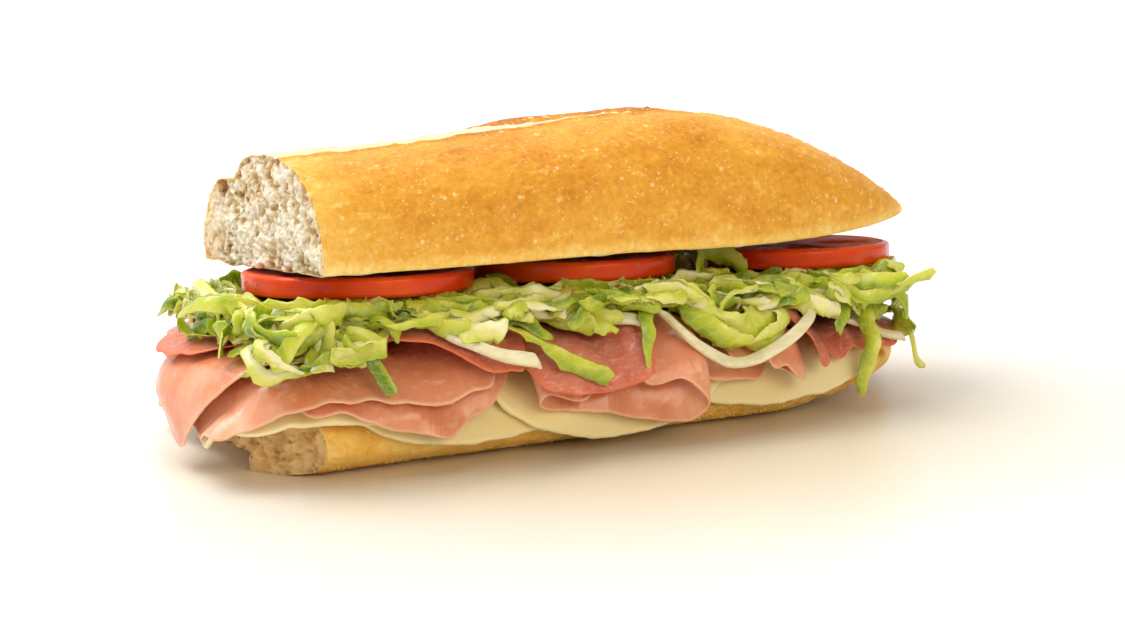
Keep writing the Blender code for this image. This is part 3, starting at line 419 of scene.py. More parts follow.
def sunk(y, z, holes):
    """How deep the bubbles reach below the cut at (y, z). Each one is drawn out its own way."""
    depth = np.zeros(len(y))
    for i, (hy, hz, radius) in enumerate(holes):
        turn, stretch = 2.4 * i, 1.1 + 0.9 * (i * 0.618 % 1.0)
        dy, dz = y - hy, z - hz
        along, across = dy * math.cos(turn) + dz * math.sin(turn), dz * math.cos(turn) - dy * math.sin(turn)
        away = (along / stretch) ** 2 + (across * stretch**0.5) ** 2
        depth = np.maximum(depth, np.sqrt(np.maximum(radius**2 - away, 0.0)))
    return depth


print("a bubble of 1 mm is sunk by", sunk(np.zeros(1), np.zeros(1), [(0.0, 0.0, 0.001)])[0], "m")

# %% [markdown]
# The top half of the roll. It is a loft: a flat-bottomed section with a domed top, wide at the cut
# and tapering to the heel, the whole rolled back a little where it sits on the filling. A split runs
# along its crest, where the baker's blade opened the dough: a pale torn band with the crust standing
# up behind it. The sizes repeat the model's, but with ten times as many points, so that wrinkles,
# blisters and the rough edge of the cut can be real.

# %% Top half of the roll
CROWN_HALF_WIDTH = 0.0358
CROWN_MIDDLE_Y = 0.0018
CROWN_HEIGHT = ((-0.096, 0.0278), (-0.050, 0.0300), (-0.010, 0.0328), (0.020, 0.0342), (0.095, 0.0342))
CROWN_CUT_X = -0.0955
CROWN_TIP_X = 0.0915
CROWN_TAPER_START, CROWN_TAPER_POWER = 0.010, 0.93
CROWN_WIDTH_POWER, CROWN_HEIGHT_POWER = 2.0 / 2.9, 2.0 / 2.3
CROWN_ROLL = math.radians(6.0)
CROWN_UNDERSIDE = ((-0.096, 0.0464), (-0.048, 0.0450), (-0.010, 0.0442), (0.030, 0.0426),
                   (0.060, 0.0430), (0.095, 0.0455))
CROWN_UNDER_REACH = 0.985
# How much lower the back of the crest is than its front, as (x, share), and where across it sinks
CROWN_BACK_DROP = ((-0.095, 0.12), (-0.02, 0.02), (0.03, 0.02), (0.09, 0.12))
CROWN_BACK = (-0.20, 0.85)
# The score: its line, its groove, and the band of torn dough in front of it
SCORE_START_Y, SCORE_END_Y, SCORE_END_X = 0.016, -0.004, 0.058
SCORE_HALF_WIDTH, SCORE_DEPTH, SCORE_FADE, SCORE_FULL_HEIGHT = 0.0060, 0.0042, 0.045, 0.012
BAND_FRONT = ((-0.096, -0.0112), (-0.040, -0.0108), (0.000, -0.0098), (0.030, -0.0100), (0.058, -0.0110))
BAND_END_X = 0.052
WANDER = 0.0012
LIP_HEIGHT, LIP_WIDTH, LIP_BEHIND = 0.0006, 0.0009, 0.0010
LOBE_HEIGHT, LOBE_WIDTH, LOBE_BEHIND = 0.0020, 0.0060, 0.0105
# Relief of the crust: the height of each kind and the size of its lumps
WAVE, SWELL, TEAR, BLISTER = (0.0010, 0.030), (0.00025, 0.006), (0.0007, 0.0030), (0.00040, 0.0026)
USUAL_BAKE, UNDER_BAKE = 0.52, 0.15
TOASTED_BACK = (0.026, 0.031)
UNDER_TOAST, UNDER_CRUMB_END_X = 0.35, 0.084
AROUND, ALONG, FACE_RINGS = 300, 215, 90
UNDER_POINTS = AROUND // 4


def score_y(x):
    return np.interp(x, (CROWN_CUT_X, SCORE_END_X), (SCORE_START_Y, SCORE_END_Y))


def crown_section(x, narrow, tapered):
    """The flat underside and the dome at x, each as y and z from its middle, and the dome's steepness."""
    half = CROWN_HALF_WIDTH * narrow
    under_y = half * CROWN_UNDER_REACH * (1.0 - 2.0 * np.arange(UNDER_POINTS) / UNDER_POINTS)
    under_z = -0.0005 * (1.0 - (under_y / half) ** 2) + 0.0007 * noise_xy(x, under_y, 0.012, 3)
    angle = math.pi * np.arange(AROUND - UNDER_POINTS) / (AROUND - UNDER_POINTS - 1)
    c, s = np.cos(angle), np.maximum(np.sin(angle), 0.0)
    y = -half * np.sign(c) * np.abs(c) ** CROWN_WIDTH_POWER
    z = float(through(x, CROWN_HEIGHT)) * tapered * s**CROWN_HEIGHT_POWER
    back = float(np.interp(x, *zip(*CROWN_BACK_DROP)))
    return under_y, under_z, y, z * (1.0 - back * ramp(y / half, *CROWN_BACK)), s


def crown_ring(x):
    """One section of the top half, and the bake and pale numbers of its points."""
    t = np.clip((x - CROWN_TAPER_START) / (CROWN_TIP_X - CROWN_TAPER_START), 0.0, 1.0)
    narrow = math.sqrt(1.0 - t**2)
    under_y, under_z, y, z, s = crown_section(x, narrow, (1.0 - t**2) ** CROWN_TAPER_POWER)
    fade = float(1.0 - ramp(x, SCORE_END_X - SCORE_FADE, SCORE_END_X))
    off = (y - score_y(x) - WANDER * noise_xy(x, 0.3, 0.011, 2)) / SCORE_HALF_WIDTH
    trench = np.exp(-(off**2)) * np.minimum(1.0, z / SCORE_FULL_HEIGHT)
    z = z - SCORE_DEPTH * fade * trench
    front_edge = float(through(x, BAND_FRONT)) + WANDER * float(noise_xy(x, 0.9, 0.009, 3))
    lip = np.exp(-((y - front_edge + LIP_BEHIND) / LIP_WIDTH) ** 2) * fade
    lobe = np.exp(-((y - score_y(x) - LOBE_BEHIND) / LOBE_WIDTH) ** 2)
    lobe = lobe * ramp(x, -0.050, -0.015) * ramp(-x, -0.055, -0.020)
    z = z + LIP_HEIGHT * lip + LOBE_HEIGHT * lobe
    spot = np.stack([np.full_like(y, x), y, z], -1)
    z = z + WAVE[0] * noise_at(spot, WAVE[1]) * s
    swell = SWELL[0] * noise_at(spot, SWELL[1], 3) * ramp(z, 0.001, 0.006)
    band = ramp(y, front_edge - 0.0003, front_edge + 0.0005)
    band = band * ramp(-y, -score_y(x) - 0.0005, -score_y(x) + 0.0030)
    band = band * ramp(BAND_END_X - x, 0.0, 0.020) * ramp(z, 0.008, 0.016)
    torn_here = np.clip(band + trench * fade, 0, 1)
    tear = TEAR[0] * np.abs(noise_at(spot * (0.6, 2.2, 1), TEAR[1], 3)) * torn_here
    blister = BLISTER[0] * ramp(noise_at(spot + 5.0, BLISTER[1], 2), 0.42, 0.70)
    z = z + (swell + tear + blister) * s
    y = y + (swell + blister) * np.sign(y) * (1.0 - s)
    # Browner on the flank that faced the heat, the lip and the lobe; paler at the foot and the cut.
    flank = ramp(-y / (CROWN_HALF_WIDTH * narrow), 0.2, 0.8) * ramp(z, 0.004, 0.014)
    bake = USUAL_BAKE + 0.10 * noise_at(spot, 0.022, 3) + 0.14 * flank
    bake = bake - 0.30 * ramp(z, 0.0042, 0.0008) - 0.25 * ramp(-x, 0.080, 0.097)
    bake = bake + 0.42 * lobe + 0.22 * lip * ramp(0.060 - x, 0.0, 0.03) - 0.2 * blister / BLISTER[0]
    all_y, all_z = np.r_[under_y, y], np.r_[under_z, z]
    cos, sin = math.cos(CROWN_ROLL), math.sin(CROWN_ROLL)
    ring = np.stack([np.full_like(all_y, x), CROWN_MIDDLE_Y * narrow + all_y * cos + all_z * sin,
                     float(through(x, CROWN_UNDERSIDE)) - all_y * sin + all_z * cos], -1)
    pale = np.r_[np.zeros(UNDER_POINTS), np.clip(band, 0, 1)]
    return ring, np.r_[np.full(UNDER_POINTS, UNDER_BAKE), bake], pale


def stations_along(cut_x, tip_x, crowding):
    """Places along a half of the roll, closer together towards its tip."""
    return cut_x + (tip_x - cut_x) * np.sin(np.linspace(0.0, 0.5 * math.pi, ALONG)) ** crowding


def close_cut(rim, face_x, first):
    """Rings of points from a rim to its middle, on the surface x = face_x(y, z), and their faces."""
    middle = rim.mean(axis=0)
    shares = 1.0 - (np.arange(1, FACE_RINGS) / FACE_RINGS) ** 0.9
    points = np.vstack([(middle + (rim - middle) * shares[:, None, None]).reshape(-1, 3), middle])
    points[:, 0] = face_x(points[:, 1], points[:, 2])
    outer = np.r_[np.arange(AROUND), first + np.arange((FACE_RINGS - 1) * AROUND)]
    quads = outer[grid_faces(FACE_RINGS, AROUND)][:, ::-1]
    fan = fan_faces(first + (FACE_RINGS - 2) * AROUND, AROUND, first + (FACE_RINGS - 1) * AROUND)
    return points, [tuple(q) for q in quads] + [face[::-1] for face in fan]


def roll_half(name, rings, cut, numbers, is_crumb):
    """One half of the roll: a loft from its cut to its tip, closed at the tip and by the cut face.

    numbers gives each named number on the loft and on the cut; is_crumb tells which faces of the
    loft are crumb, by their row and column.
    """
    tip = len(rings) * AROUND
    cut_points, cut_faces = cut
    points = np.vstack([*rings, rings[-1].mean(axis=0), cut_points])
    faces = [tuple(f) for f in grid_faces(len(rings), AROUND)] + fan_faces(tip - AROUND, AROUND, tip)
    row, column = np.divmod(np.arange(len(faces)), AROUND)
    looks = np.r_[np.where(is_crumb(row, column), 1, 0), np.ones(len(cut_faces), int)]
    values = {key: np.r_[np.broadcast_to(on_loft, tip), 0.0, np.broadcast_to(on_cut, len(cut_points))]
              for key, (on_loft, on_cut) in numbers.items()}
    return face_out(make_piece(name, points, faces + cut_faces, (crust, crumb), "crust", values, looks))


def crown_face(y, z):
    """The cut face of the top half: slightly wavy, with bubbles sunk into it."""
    depth = sunk(y, z, crown_holes) * (1.0 - 0.85 * ramp(y, *TOASTED_BACK))
    rough = 0.0005 * noise_xy(y, z, 0.0014, 2, 3.0) + 0.0009 * noise_xy(y, z, 0.007, 2, 5.0)
    return CROWN_CUT_X + depth * 0.95 + rough


crown_holes = bubbles(21, (-0.031, 0.040), (0.043, 0.077),
                      ((0.0019, 9), (0.0012, 60), (0.0008, 380), (0.0005, 900)))


def make_crown():
    stations = stations_along(CROWN_CUT_X, CROWN_TIP_X - 0.0002, 1.15)
    rings, bakes, pales = zip(*(crown_ring(x) for x in stations))
    cut_points, cut_faces = close_cut(rings[0], crown_face, len(rings) * AROUND + 1)
    x, y, z = cut_points.T
    # The cut is toasted along its rim, at its back corner and in the groove of the score.
    inside = np.r_[np.repeat(np.arange(1, FACE_RINGS) / FACE_RINGS, AROUND), 1.0]
    groove = np.exp(-(((y - SCORE_START_Y - 0.006) / 0.004) ** 2) - ((z - 0.070) / 0.0045) ** 2)
    toast_and_shade = np.clip(1.0 - inside / 0.04, 0, 1) * 0.9 + 0.30 * ramp(y, *TOASTED_BACK)
    # The hollows of the cut get painted shade: the further behind the cut a point lies, the darker its
    # crumb.
    numbers = {"bake": (np.concatenate(bakes), 0.0), "pale": (np.concatenate(pales), 0.0),
               "pore_shade": (0.0, np.clip((x - CROWN_CUT_X) / 0.0018, 0, 1)),
               "toast_and_shade": (UNDER_TOAST, np.clip(toast_and_shade + groove, 0, 1))}
    # The underside is soft crumb too, up to where it would show under the heel.
    crumb_rows = np.searchsorted(stations, UNDER_CRUMB_END_X)
    return roll_half("top_half", rings, (cut_points, cut_faces), numbers,
                     lambda row, column: (column < UNDER_POINTS) & (row < crumb_rows))


top_half = settle(make_crown(), "bread_top")

# %% [markdown]
# The bottom half lies on its flat foot. Its cut turns back at the front corner and has a bite missing
# along the foot, where the roll tore when it was pulled apart. The face is again crumb, but the light
# hardly reaches it, so it is painted darker and warmer than the top half's: painted shade.

# %% Bottom half of the roll
BASE_TOP = 0.0170
BASE_HALF_WIDTH = 0.0357
BASE_WAIST, BASE_WAIST_DROP = 0.0070, 0.35
BASE_FOOT_HALF_WIDTH = 0.0220
BASE_TOP_HALF_WIDTH = 0.0240
BASE_HEEL_START, BASE_HEEL_END = 0.030, 0.085
BASE_TAPER_POWER = 2.8
BASE_LIFT_START, BASE_HEEL_LIFT, BASE_LIFT_POWER = 0.036, 0.0060, 0.8
BASE_HEEL_DROP, BASE_HEEL_DROP_START = 0.0030, 0.045
NOTCH_HEIGHT, NOTCH_FRONT_Y, NOTCH_DEPTH = 0.0050, -0.014, 0.010
BASE_CUT = ((-0.040, -0.0955), (-0.030, -0.0985), (-0.024, -0.1030), (-0.018, -0.1072),
            (-0.008, -0.1095), (0.010, -0.1112), (0.025, -0.1112), (0.040, -0.1095))
# The loft starts as a flat section and is carried over this length to the turned back cut.
BRIDGE_LENGTH, BRIDGE_RINGS = 0.006, 13
# A section is six stretches: the foot, two corners, the top and two corners.
STRETCH = AROUND // 6
CHIP_DEPTH = 0.0016
# The second of these numbers is painted shade: how much darker and warmer the whole cut face is coloured.
INNER_TOAST, CUT_SHADE, INNER_CRUMB_END_X = 0.45, 0.60, 0.074


def base_cut(y, z):
    """x of the cut at (y, z), with the bite along the foot."""
    bite = ramp(NOTCH_HEIGHT + 0.0007 - z + 0.0012 * noise_xy(y, z, 0.006, 2), 0.0, 0.0016)
    bite = bite * ramp(y, NOTCH_FRONT_Y - 0.002, NOTCH_FRONT_Y + 0.002)
    return through(y, BASE_CUT) + NOTCH_DEPTH * bite


def base_section(t, lift, top):
    """y and z round a section whose foot is lifted, and half the width of its foot."""
    taper = (1.0 - t**BASE_TAPER_POWER) ** 0.5
    half, foot, flat = (w * taper for w in (BASE_HALF_WIDTH, BASE_FOOT_HALF_WIDTH, BASE_TOP_HALF_WIDTH))
    waist = lift + BASE_WAIST * (1.0 - BASE_WAIST_DROP * t)
    a = 0.5 * math.pi * np.arange(STRETCH) / STRETCH
    across = 1.0 - 2.0 * np.arange(STRETCH) / STRETCH
    sin, cos = np.sin(a), np.cos(a)
    y = np.r_[foot * across, -foot - (half - foot) * sin, -flat - (half - flat) * cos,
              -flat * across, flat + (half - flat) * sin, foot + (half - foot) * cos]
    z = np.r_[np.full(STRETCH, lift), waist - (waist - lift) * cos, waist + (top - waist) * sin,
              np.full(STRETCH, top), waist + (top - waist) * cos, waist - (waist - lift) * sin]
    return y, z, foot


def base_ring(x):
    """One section of the bottom half, and the bake number of its points."""
    t = float(np.clip((x - BASE_HEEL_START) / (BASE_HEEL_END - BASE_HEEL_START), 0.0, 1.0))
    lift = BASE_HEEL_LIFT * float(ramp(x, BASE_LIFT_START, BASE_HEEL_END)) ** BASE_LIFT_POWER
    top = BASE_TOP - BASE_HEEL_DROP * float(ramp(x, BASE_HEEL_DROP_START, BASE_HEEL_END))
    y, z, foot = base_section(t, lift, top)
    spot = np.stack([np.full_like(y, x), y, z], -1)
    side = ramp(np.abs(y), foot, foot + 0.004) * ramp(z, 0.0, 0.002)
    grain = 0.00035 * noise_at(spot, 0.004, 3) + 0.0006 * noise_at(spot, 0.018, 2)
    chips = CHIP_DEPTH * ramp(noise_at(spot * (0.6, 1, 1.4), 0.006, 3), 0.15, 0.45) * ramp(x, 0.035, 0.065)
    y = y + np.sign(y) * (grain - chips) * side
    z = z + np.where(z > top - 0.0005, 0.3 * grain, 0.0) + 0.8 * chips * ramp(z, lift + 0.003, lift)
    # Browner towards the foot: painted shade of the undercut, where the roll meets the floor.
    bake = 0.24 + 0.16 * noise_at(spot, 0.016, 3) + 0.12 * ramp(z, 0.0022, 0.0004)
    return np.stack([np.full_like(y, x), y, z], -1), bake + 0.3 * chips / CHIP_DEPTH


base_holes = bubbles(33, (-0.040, -0.001), (0.038, 0.018),
                     ((0.0012, 8), (0.0008, 70), (0.0006, 320), (0.0004, 400)))


def base_face(y, z):
    return base_cut(y, z) + sunk(y, z, base_holes) * 0.6 + 0.0008 * noise_xy(y, z, 0.004, 3, 9.0)


def make_base():
    start = BASE_CUT[0][1] + BRIDGE_LENGTH
    stations = stations_along(start, BASE_HEEL_END - 0.0003, 1.1)
    rings, bakes = zip(*(base_ring(x) for x in stations))
    carried = base_cut(rings[0][:, 1], rings[0][:, 2]) - start
    bridge = []
    for share in np.linspace(1.0, 0.0, BRIDGE_RINGS + 1)[:-1]:
        ring = rings[0].copy()
        ring[:, 0] = start + carried * share
        bridge.append(ring)
    rings = [*bridge, *rings]
    cut_points, cut_faces = close_cut(rings[0], base_face, len(rings) * AROUND + 1)
    behind = cut_points[:, 0] - base_cut(cut_points[:, 1], cut_points[:, 2])
    # The cut face gets painted shade: its hollows start darker and all of it is tinted darker and warmer.
    numbers = {"bake": (np.concatenate([*[bakes[0]] * BRIDGE_RINGS, *bakes]), 0.0), "pale": (0.0, 0.0),
               "pore_shade": (0.0, np.clip(0.15 + behind / 0.0022, 0, 1)), "toast_and_shade": (INNER_TOAST, CUT_SHADE)}
    crumb_rows = BRIDGE_RINGS + np.searchsorted(stations, INNER_CRUMB_END_X)
    return roll_half("bottom_half", rings, (cut_points, cut_faces), numbers,
                     lambda row, column: (column // STRETCH == 3) & (row < crumb_rows))


bottom_half = settle(make_base(), "bread_bottom")

# %% [markdown]
# Thin slices drape over the bread: flat on top, then round its shoulder and down at an angle, and
# over the cut end as well. So each slice is drawn flat, as if on a board, in x along the loaf and v
# across it, and `drape` bends that plane over the bread. n is the height above the bread. The same
# bend moves every slice, so slices that don't touch on the board don't touch on the bread.

# %% The bend over the bread
DRAPE_TOP = 0.0175
SHOULDER, SHOULDER_RADIUS, SHOULDER_TURN = 0.0240, 0.0120, math.radians(60.0)
END_RADIUS, END_TURN = 0.0050, math.radians(68.0)
END_X, END_SKEW = -0.1111, -0.183
# Out at the shoulders the end bends less.
END_EASE, END_EASE_SPAN = 0.65, (-0.014, 0.004)
LEAST_ARM = 0.001


def drape(x, v, n):
    x, v, n = (np.asarray(a, float) for a in np.broadcast_arrays(x, v, n))
    past = np.abs(v) - SHOULDER
    turn = np.clip(past / SHOULDER_RADIUS, 0.0, SHOULDER_TURN)
    over = np.maximum(past - SHOULDER_RADIUS * SHOULDER_TURN, 0.0)
    reach = SHOULDER_RADIUS + n
    y = np.minimum(np.abs(v), SHOULDER) + reach * np.sin(turn) + over * math.cos(SHOULDER_TURN)
    y = np.where(v < 0.0, -1.0, 1.0) * y
    z = DRAPE_TOP - SHOULDER_RADIUS + reach * np.cos(turn) - over * math.sin(SHOULDER_TURN)
    edge = END_X + END_SKEW * y
    out = np.maximum(edge - x, 0.0)
    fade = 1.0 - END_EASE * ramp(past, *END_EASE_SPAN)
    bend = np.minimum(out / END_RADIUS, END_TURN * fade)
    free = np.maximum(out - END_RADIUS * END_TURN * fade, 0.0)
    arm = np.maximum(END_RADIUS + z - DRAPE_TOP, LEAST_ARM)
    sunk_by = np.minimum(END_RADIUS + z - DRAPE_TOP - LEAST_ARM, 0.0)
    bent_x = edge - arm * np.sin(bend) - free * np.cos(bend)
    bent_z = DRAPE_TOP - END_RADIUS + arm * np.cos(bend) - free * np.sin(bend) + sunk_by
    return np.stack([np.where(out > 0.0, bent_x, x), y, np.where(out > 0.0, bent_z, z)], -1)


def undrape(points):
    """(x, v, n) of points in space."""
    x, y, z = points.T
    dy, dz = np.abs(y) - SHOULDER, z - (DRAPE_TOP - SHOULDER_RADIUS)
    angle = np.arctan2(dy, dz)
    sin, cos = math.sin(SHOULDER_TURN), math.cos(SHOULDER_TURN)
    round_n = np.hypot(dy, dz) - SHOULDER_RADIUS
    slope_n = dy * sin + dz * cos - SHOULDER_RADIUS
    slope_past = SHOULDER_RADIUS * SHOULDER_TURN + dy * cos - dz * sin
    past = np.where(angle <= SHOULDER_TURN, SHOULDER_RADIUS * angle, slope_past)
    n = np.where(dy <= 0.0, z - DRAPE_TOP, np.where(angle <= SHOULDER_TURN, round_n, slope_n))
    return x, np.where(dy <= 0.0, y, np.copysign(SHOULDER + past, y)), n


print("a slice's edge 45 mm out from the middle lies at", drape(0.0, -0.045, 0.0).round(4))

# %% [markdown]
# What does a slice rest on? `Pile` keeps the height of the stack on a fine grid over the board. A
# slice isn't stiff enough to float over a step, nor limp enough to fill every corner, so it rests on
# the highest point nearby, smoothed out. After each slice the grid is raised by it. Cloth simulation
# could do this as well, but here every slice stays where the model has it.

# %% The height of the stack
class Pile:
    """The height of the stack on a grid over x and v."""

    STEP = 0.001
    X0, X1, V0, V1 = -0.145, 0.100, -0.062, 0.062
    REACH = 4

    def __init__(self):
        shape = (round((self.X1 - self.X0) / self.STEP), round((self.V1 - self.V0) / self.STEP))
        self.height = np.zeros(shape)
        self.soft = np.zeros(shape)

    def sweep(self, field, how):
        """The highest or the mean value, by how, within REACH cells along x and then along v."""
        for axis in (0, 1):
            pads = [(0, 0), (0, 0)]
            pads[axis] = (self.REACH, self.REACH)
            padded = np.pad(field, pads, mode="edge")
            size = field.shape[axis]
            shifted = [np.take(padded, range(k, k + size), axis) for k in range(2 * self.REACH + 1)]
            field = how(shifted, axis=0)
        return field

    def cell(self, x, v):
        i = np.round((x - self.X0) / self.STEP).astype(int)
        j = np.round((v - self.V0) / self.STEP).astype(int)
        return np.clip(i, 0, self.height.shape[0] - 1), np.clip(j, 0, self.height.shape[1] - 1)

    def cover(self, x, v, top):
        """Raises the stack to a new top, and smooths what the next slice will rest on."""
        np.maximum.at(self.height, self.cell(x, v), top)
        self.soft = self.sweep(self.sweep(self.height, np.max), np.mean)

    def sample(self, field, x, v):
        fx = np.clip((np.asarray(x) - self.X0) / self.STEP, 0, field.shape[0] - 1.001)
        fv = np.clip((np.asarray(v) - self.V0) / self.STEP, 0, field.shape[1] - 1.001)
        i, j = fx.astype(int), fv.astype(int)
        a, b = fx - i, fv - j
        return ((1 - a) * (1 - b) * field[i, j] + a * (1 - b) * field[i + 1, j]
                + (1 - a) * b * field[i, j + 1] + a * b * field[i + 1, j + 1])

    def under(self, x, v):
        return self.sample(self.soft, x, v)


pile = Pile()
print("stack grid:", pile.height.shape)

# %% [markdown]
# Cold cuts and cheese. Sliced ham is moist and fine grained, and lets light a little way in; its cut
# edge is painted paler, a painted highlight. The cured slices are darker, streaked with fat, with a
# spiced rim. Cheese is nearly even and waxy, and its edge is painted a little paler, a painted
# highlight. `rim` is 1 at the very edge of a slice and 0 further in.

# %% Materials of the slices
def ham_look():
    look, tree, shader = shader_of("sliced_ham", colour(232, 156, 118), 0.36, 0.32, (1.0, 0.40, 0.22),
                                   0.0022, coat=0.40, coat_roughness=0.18)
    at = place(tree)
    cloud = noise_node(tree, at, 38.0, 3.0, 0.5, 0.8)
    fibre = noise_node(tree, place(tree, (1.0, 2.6, 1.0)), 210.0, 4.0, 0.6)
    base = blend_by(tree, cloud, (0.28, colour(218, 132, 94)), (0.5, colour(230, 152, 114)),
                    (0.72, colour(240, 174, 138)))
    base = mix(tree, step(tree, fibre, 0.50, 0.74, 0.0, 0.50), base, colour(246, 192, 156))
    # Painted highlight: the edge of the slice, where light catches it, is painted paler.
    base = mix(tree, step(tree, number(tree, "rim"), 0.4, 1.0, 0.0, 0.55), base, colour(246, 196, 158))
    wrinkle = noise_node(tree, place(tree, (1.0, 0.45, 0.6)), 75.0, 4.0, 0.55, 0.6)
    grain = noise_node(tree, at, 900.0)
    finish_look(tree, shader, base, step(tree, cloud, 0.3, 0.7, 0.22, 0.36),
                ((wrinkle, 0.0030, 0.60), (fibre, 0.0003, 0.4), (grain, 0.0001, 0.35)))
    return look


def cured_look():
    look, tree, shader = shader_of("cured_slice", colour(214, 122, 98), 0.38, 0.35, (1.0, 0.32, 0.18),
                                   0.0020, coat=0.22, coat_roughness=0.3)
    at = place(tree)
    fat = noise_node(tree, place(tree, (1.0, 2.2, 2.2)), 260.0, 5.0, 0.7, 0.8)
    cloud = noise_node(tree, at, 80.0, 3.0)
    base = blend_by(tree, cloud, (0.3, colour(206, 104, 84)), (0.7, colour(222, 136, 110)))
    base = mix(tree, step(tree, fat, 0.46, 0.72, 0.0, 0.85), base, colour(240, 184, 158))
    base = mix(tree, step(tree, fat, 0.42, 0.30, 0.0, 0.5), base, colour(176, 62, 46))
    base = mix(tree, step(tree, number(tree, "rim"), 0.25, 0.95, 0.0, 0.8), base, colour(222, 116, 70))
    finish_look(tree, shader, base, step(tree, fat, 0.3, 0.7, 0.42, 0.28),
                ((fat, 0.0003, 0.45), (noise_node(tree, at, 1000.0), 0.0001, 0.4)))
    return look


def cheese_look():
    look, tree, shader = shader_of("sliced_cheese", colour(248, 226, 164), 0.40, 0.45, (1.0, 0.70, 0.30),
                                   0.0032, coat=0.10, coat_roughness=0.3)
    at = place(tree)
    cloud = noise_node(tree, at, 30.0, 3.0)
    base = blend_by(tree, cloud, (0.25, colour(254, 226, 158)), (0.75, colour(255, 238, 190)))
    # Painted highlight: the edge of the slice is painted a little paler, where light catches it.
    base = mix(tree, step(tree, number(tree, "rim"), 0.3, 1.0, 0.0, 0.35), base, colour(255, 240, 204))
    finish_look(tree, shader, base, None, ((noise_node(tree, at, 500.0, 4.0), 0.00012, 0.4),
                                           (noise_node(tree, at, 90.0), 0.0004, 0.2)))
    return look


ham, cured, cheese = ham_look(), cured_look(), cheese_look()
print("materials:", ham.name, cured.name, cheese.name)

# %% [markdown]
# One function makes every slice. Rings of points run from its edge to its middle; the face above and
# the face below meet in a rounded rim, as thin as a real slice. Meat that hangs free ripples, more
# towards its edge, so the outer rings also get a slow noise. Folded slices follow a short path in
# x and height first, as a sheet of paper would.

# %% One slice
LAYER_GAP = 0.0004
# How thick the very edge is, as a share of the slice: cheese is cut square, meat thins out.
EDGE_SHARE = {"cheese": 0.85, "ham": 0.42, "cured": 0.45}
THINS_OVER = 0.007
RIM_POINTS = 190
SLICE_RINGS = 30
RIM_CURL = (0.06, 0.25, 0.5, 0.75)
CHEESE_THICKNESS, HAM_THICKNESS, CURED_THICKNESS = 0.0018, 0.0015, 0.0014
# How far out across the loaf a fold opens, and a slice hangs loose
FOLD_OPENS, HANGS_LOOSE = (0.018, 0.036), (0.020, 0.038)


def folded(corners):
    """The path of a slice folded along lines across the loaf: (x, height) by distance along it."""
    points = rounded(corners, 160)
    lengths = np.r_[0.0, np.cumsum(np.linalg.norm(np.diff(points, axis=0), axis=1))]
    slope = np.gradient(points, lengths, axis=0)
    slope /= np.linalg.norm(slope, axis=1)[:, None]

    def follow(u):
        x, n, dx, dn = (np.interp(u, lengths, column) for column in (*points.T, *slope.T))
        return x, n, -dn, dx

    return follow, lengths[-1]


def flat_slice(outline, half, edge, seed):
    """The rings of a flat slice: (u, v), the level of its face, and how far inside its rim a point is."""
    rim = rounded(outline, RIM_POINTS, closed=True)
    centre = rim.mean(axis=0)
    outward = rim - centre
    outward /= np.linalg.norm(outward, axis=1)[:, None]
    rim = rim + outward * (0.0005 * noise_xy(rim[:, 0], rim[:, 1], 0.007, 3, seed))[:, None]
    # Its rim is rounded: it closes in a half circle, and the slice thins towards it.
    curl = 0.5 * math.pi * np.array(RIM_CURL)
    shares = 1.0 - np.linspace(0.0, 1.0, SLICE_RINGS)[:-1] ** 1.3
    flat = [rim - outward * inset for inset in edge * (1.0 - np.cos(curl))]
    flat += [centre + (rim - outward * edge - centre) * share for share in shares]
    level = np.r_[np.repeat(np.r_[np.sin(curl), np.ones(len(shares))], RIM_POINTS), 1.0]
    from_rim = np.vstack([*flat, centre]) - np.vstack([np.tile(rim, (len(flat), 1)), centre + 1.0])
    inside = np.linalg.norm(from_rim, axis=1)
    level = level * (edge / half + (1.0 - edge / half) * ramp(inside, 0.0, THINS_OVER))
    return np.vstack([*flat, centre]), level, inside


def make_slice(name, outline, thickness, look, slot, seed, lift=None, path=None, flatten=1.0, ripple=0.0008):
    """A draped slice. Its outline is flat, in metres; lift raises it locally; path folds it."""
    half = 0.5 * thickness
    flat, level, inside = flat_slice(outline, half, half * EDGE_SHARE[slot], seed)
    u, v = flat.T
    follow = path or (lambda a: (a, np.zeros_like(a), np.zeros_like(a), np.ones_like(a)))
    x, n, away_x, away_n = follow(u)
    if path:
        n = n * (flatten + (1.0 - flatten) * ramp(-v, *FOLD_OPENS))
    rest = pile.under(x, v) + LAYER_GAP + half
    if lift:
        rest = rest + lift(x, v)
    loose = ramp(np.abs(v), *HANGS_LOOSE)
    rest = rest + ripple * (0.25 + loose) * (1.0 + noise_xy(x * 1.0, v * 0.5, 0.011, 2, seed + 3.0))
    points = []
    for side in (1.0, -1.0):
        offset = side * half * level
        points.append(drape(x + away_x * offset, v, rest + n + away_n * offset))
    pile.cover(x, v, rest + n + half)
    if path:
        pile.cover(np.concatenate([x + away_x * half, x - away_x * half]), np.r_[v, v],
                   np.concatenate([rest + n + away_n * half, rest + n - away_n * half]))
    faces = sheet_faces(len(level) // RIM_POINTS, RIM_POINTS)
    near = ramp(-inside, -0.0012, -0.0002)
    return face_out(make_piece(name, np.vstack(points), faces, (look,), slot, {"rim": np.r_[near, near]}))


def oval(centre_x, centre_v, reach_x, reach_v, count=16, squareness=2.5):
    """The corners of a round slice, a little squarer than an ellipse."""
    a = 2.0 * math.pi * np.arange(count) / count
    c, s = np.cos(a), np.sin(a)
    return np.stack([centre_x + reach_x * np.sign(c) * np.abs(c) ** (2 / squareness),
                     centre_v + reach_v * np.sign(s) * np.abs(s) ** (2 / squareness)], 1)


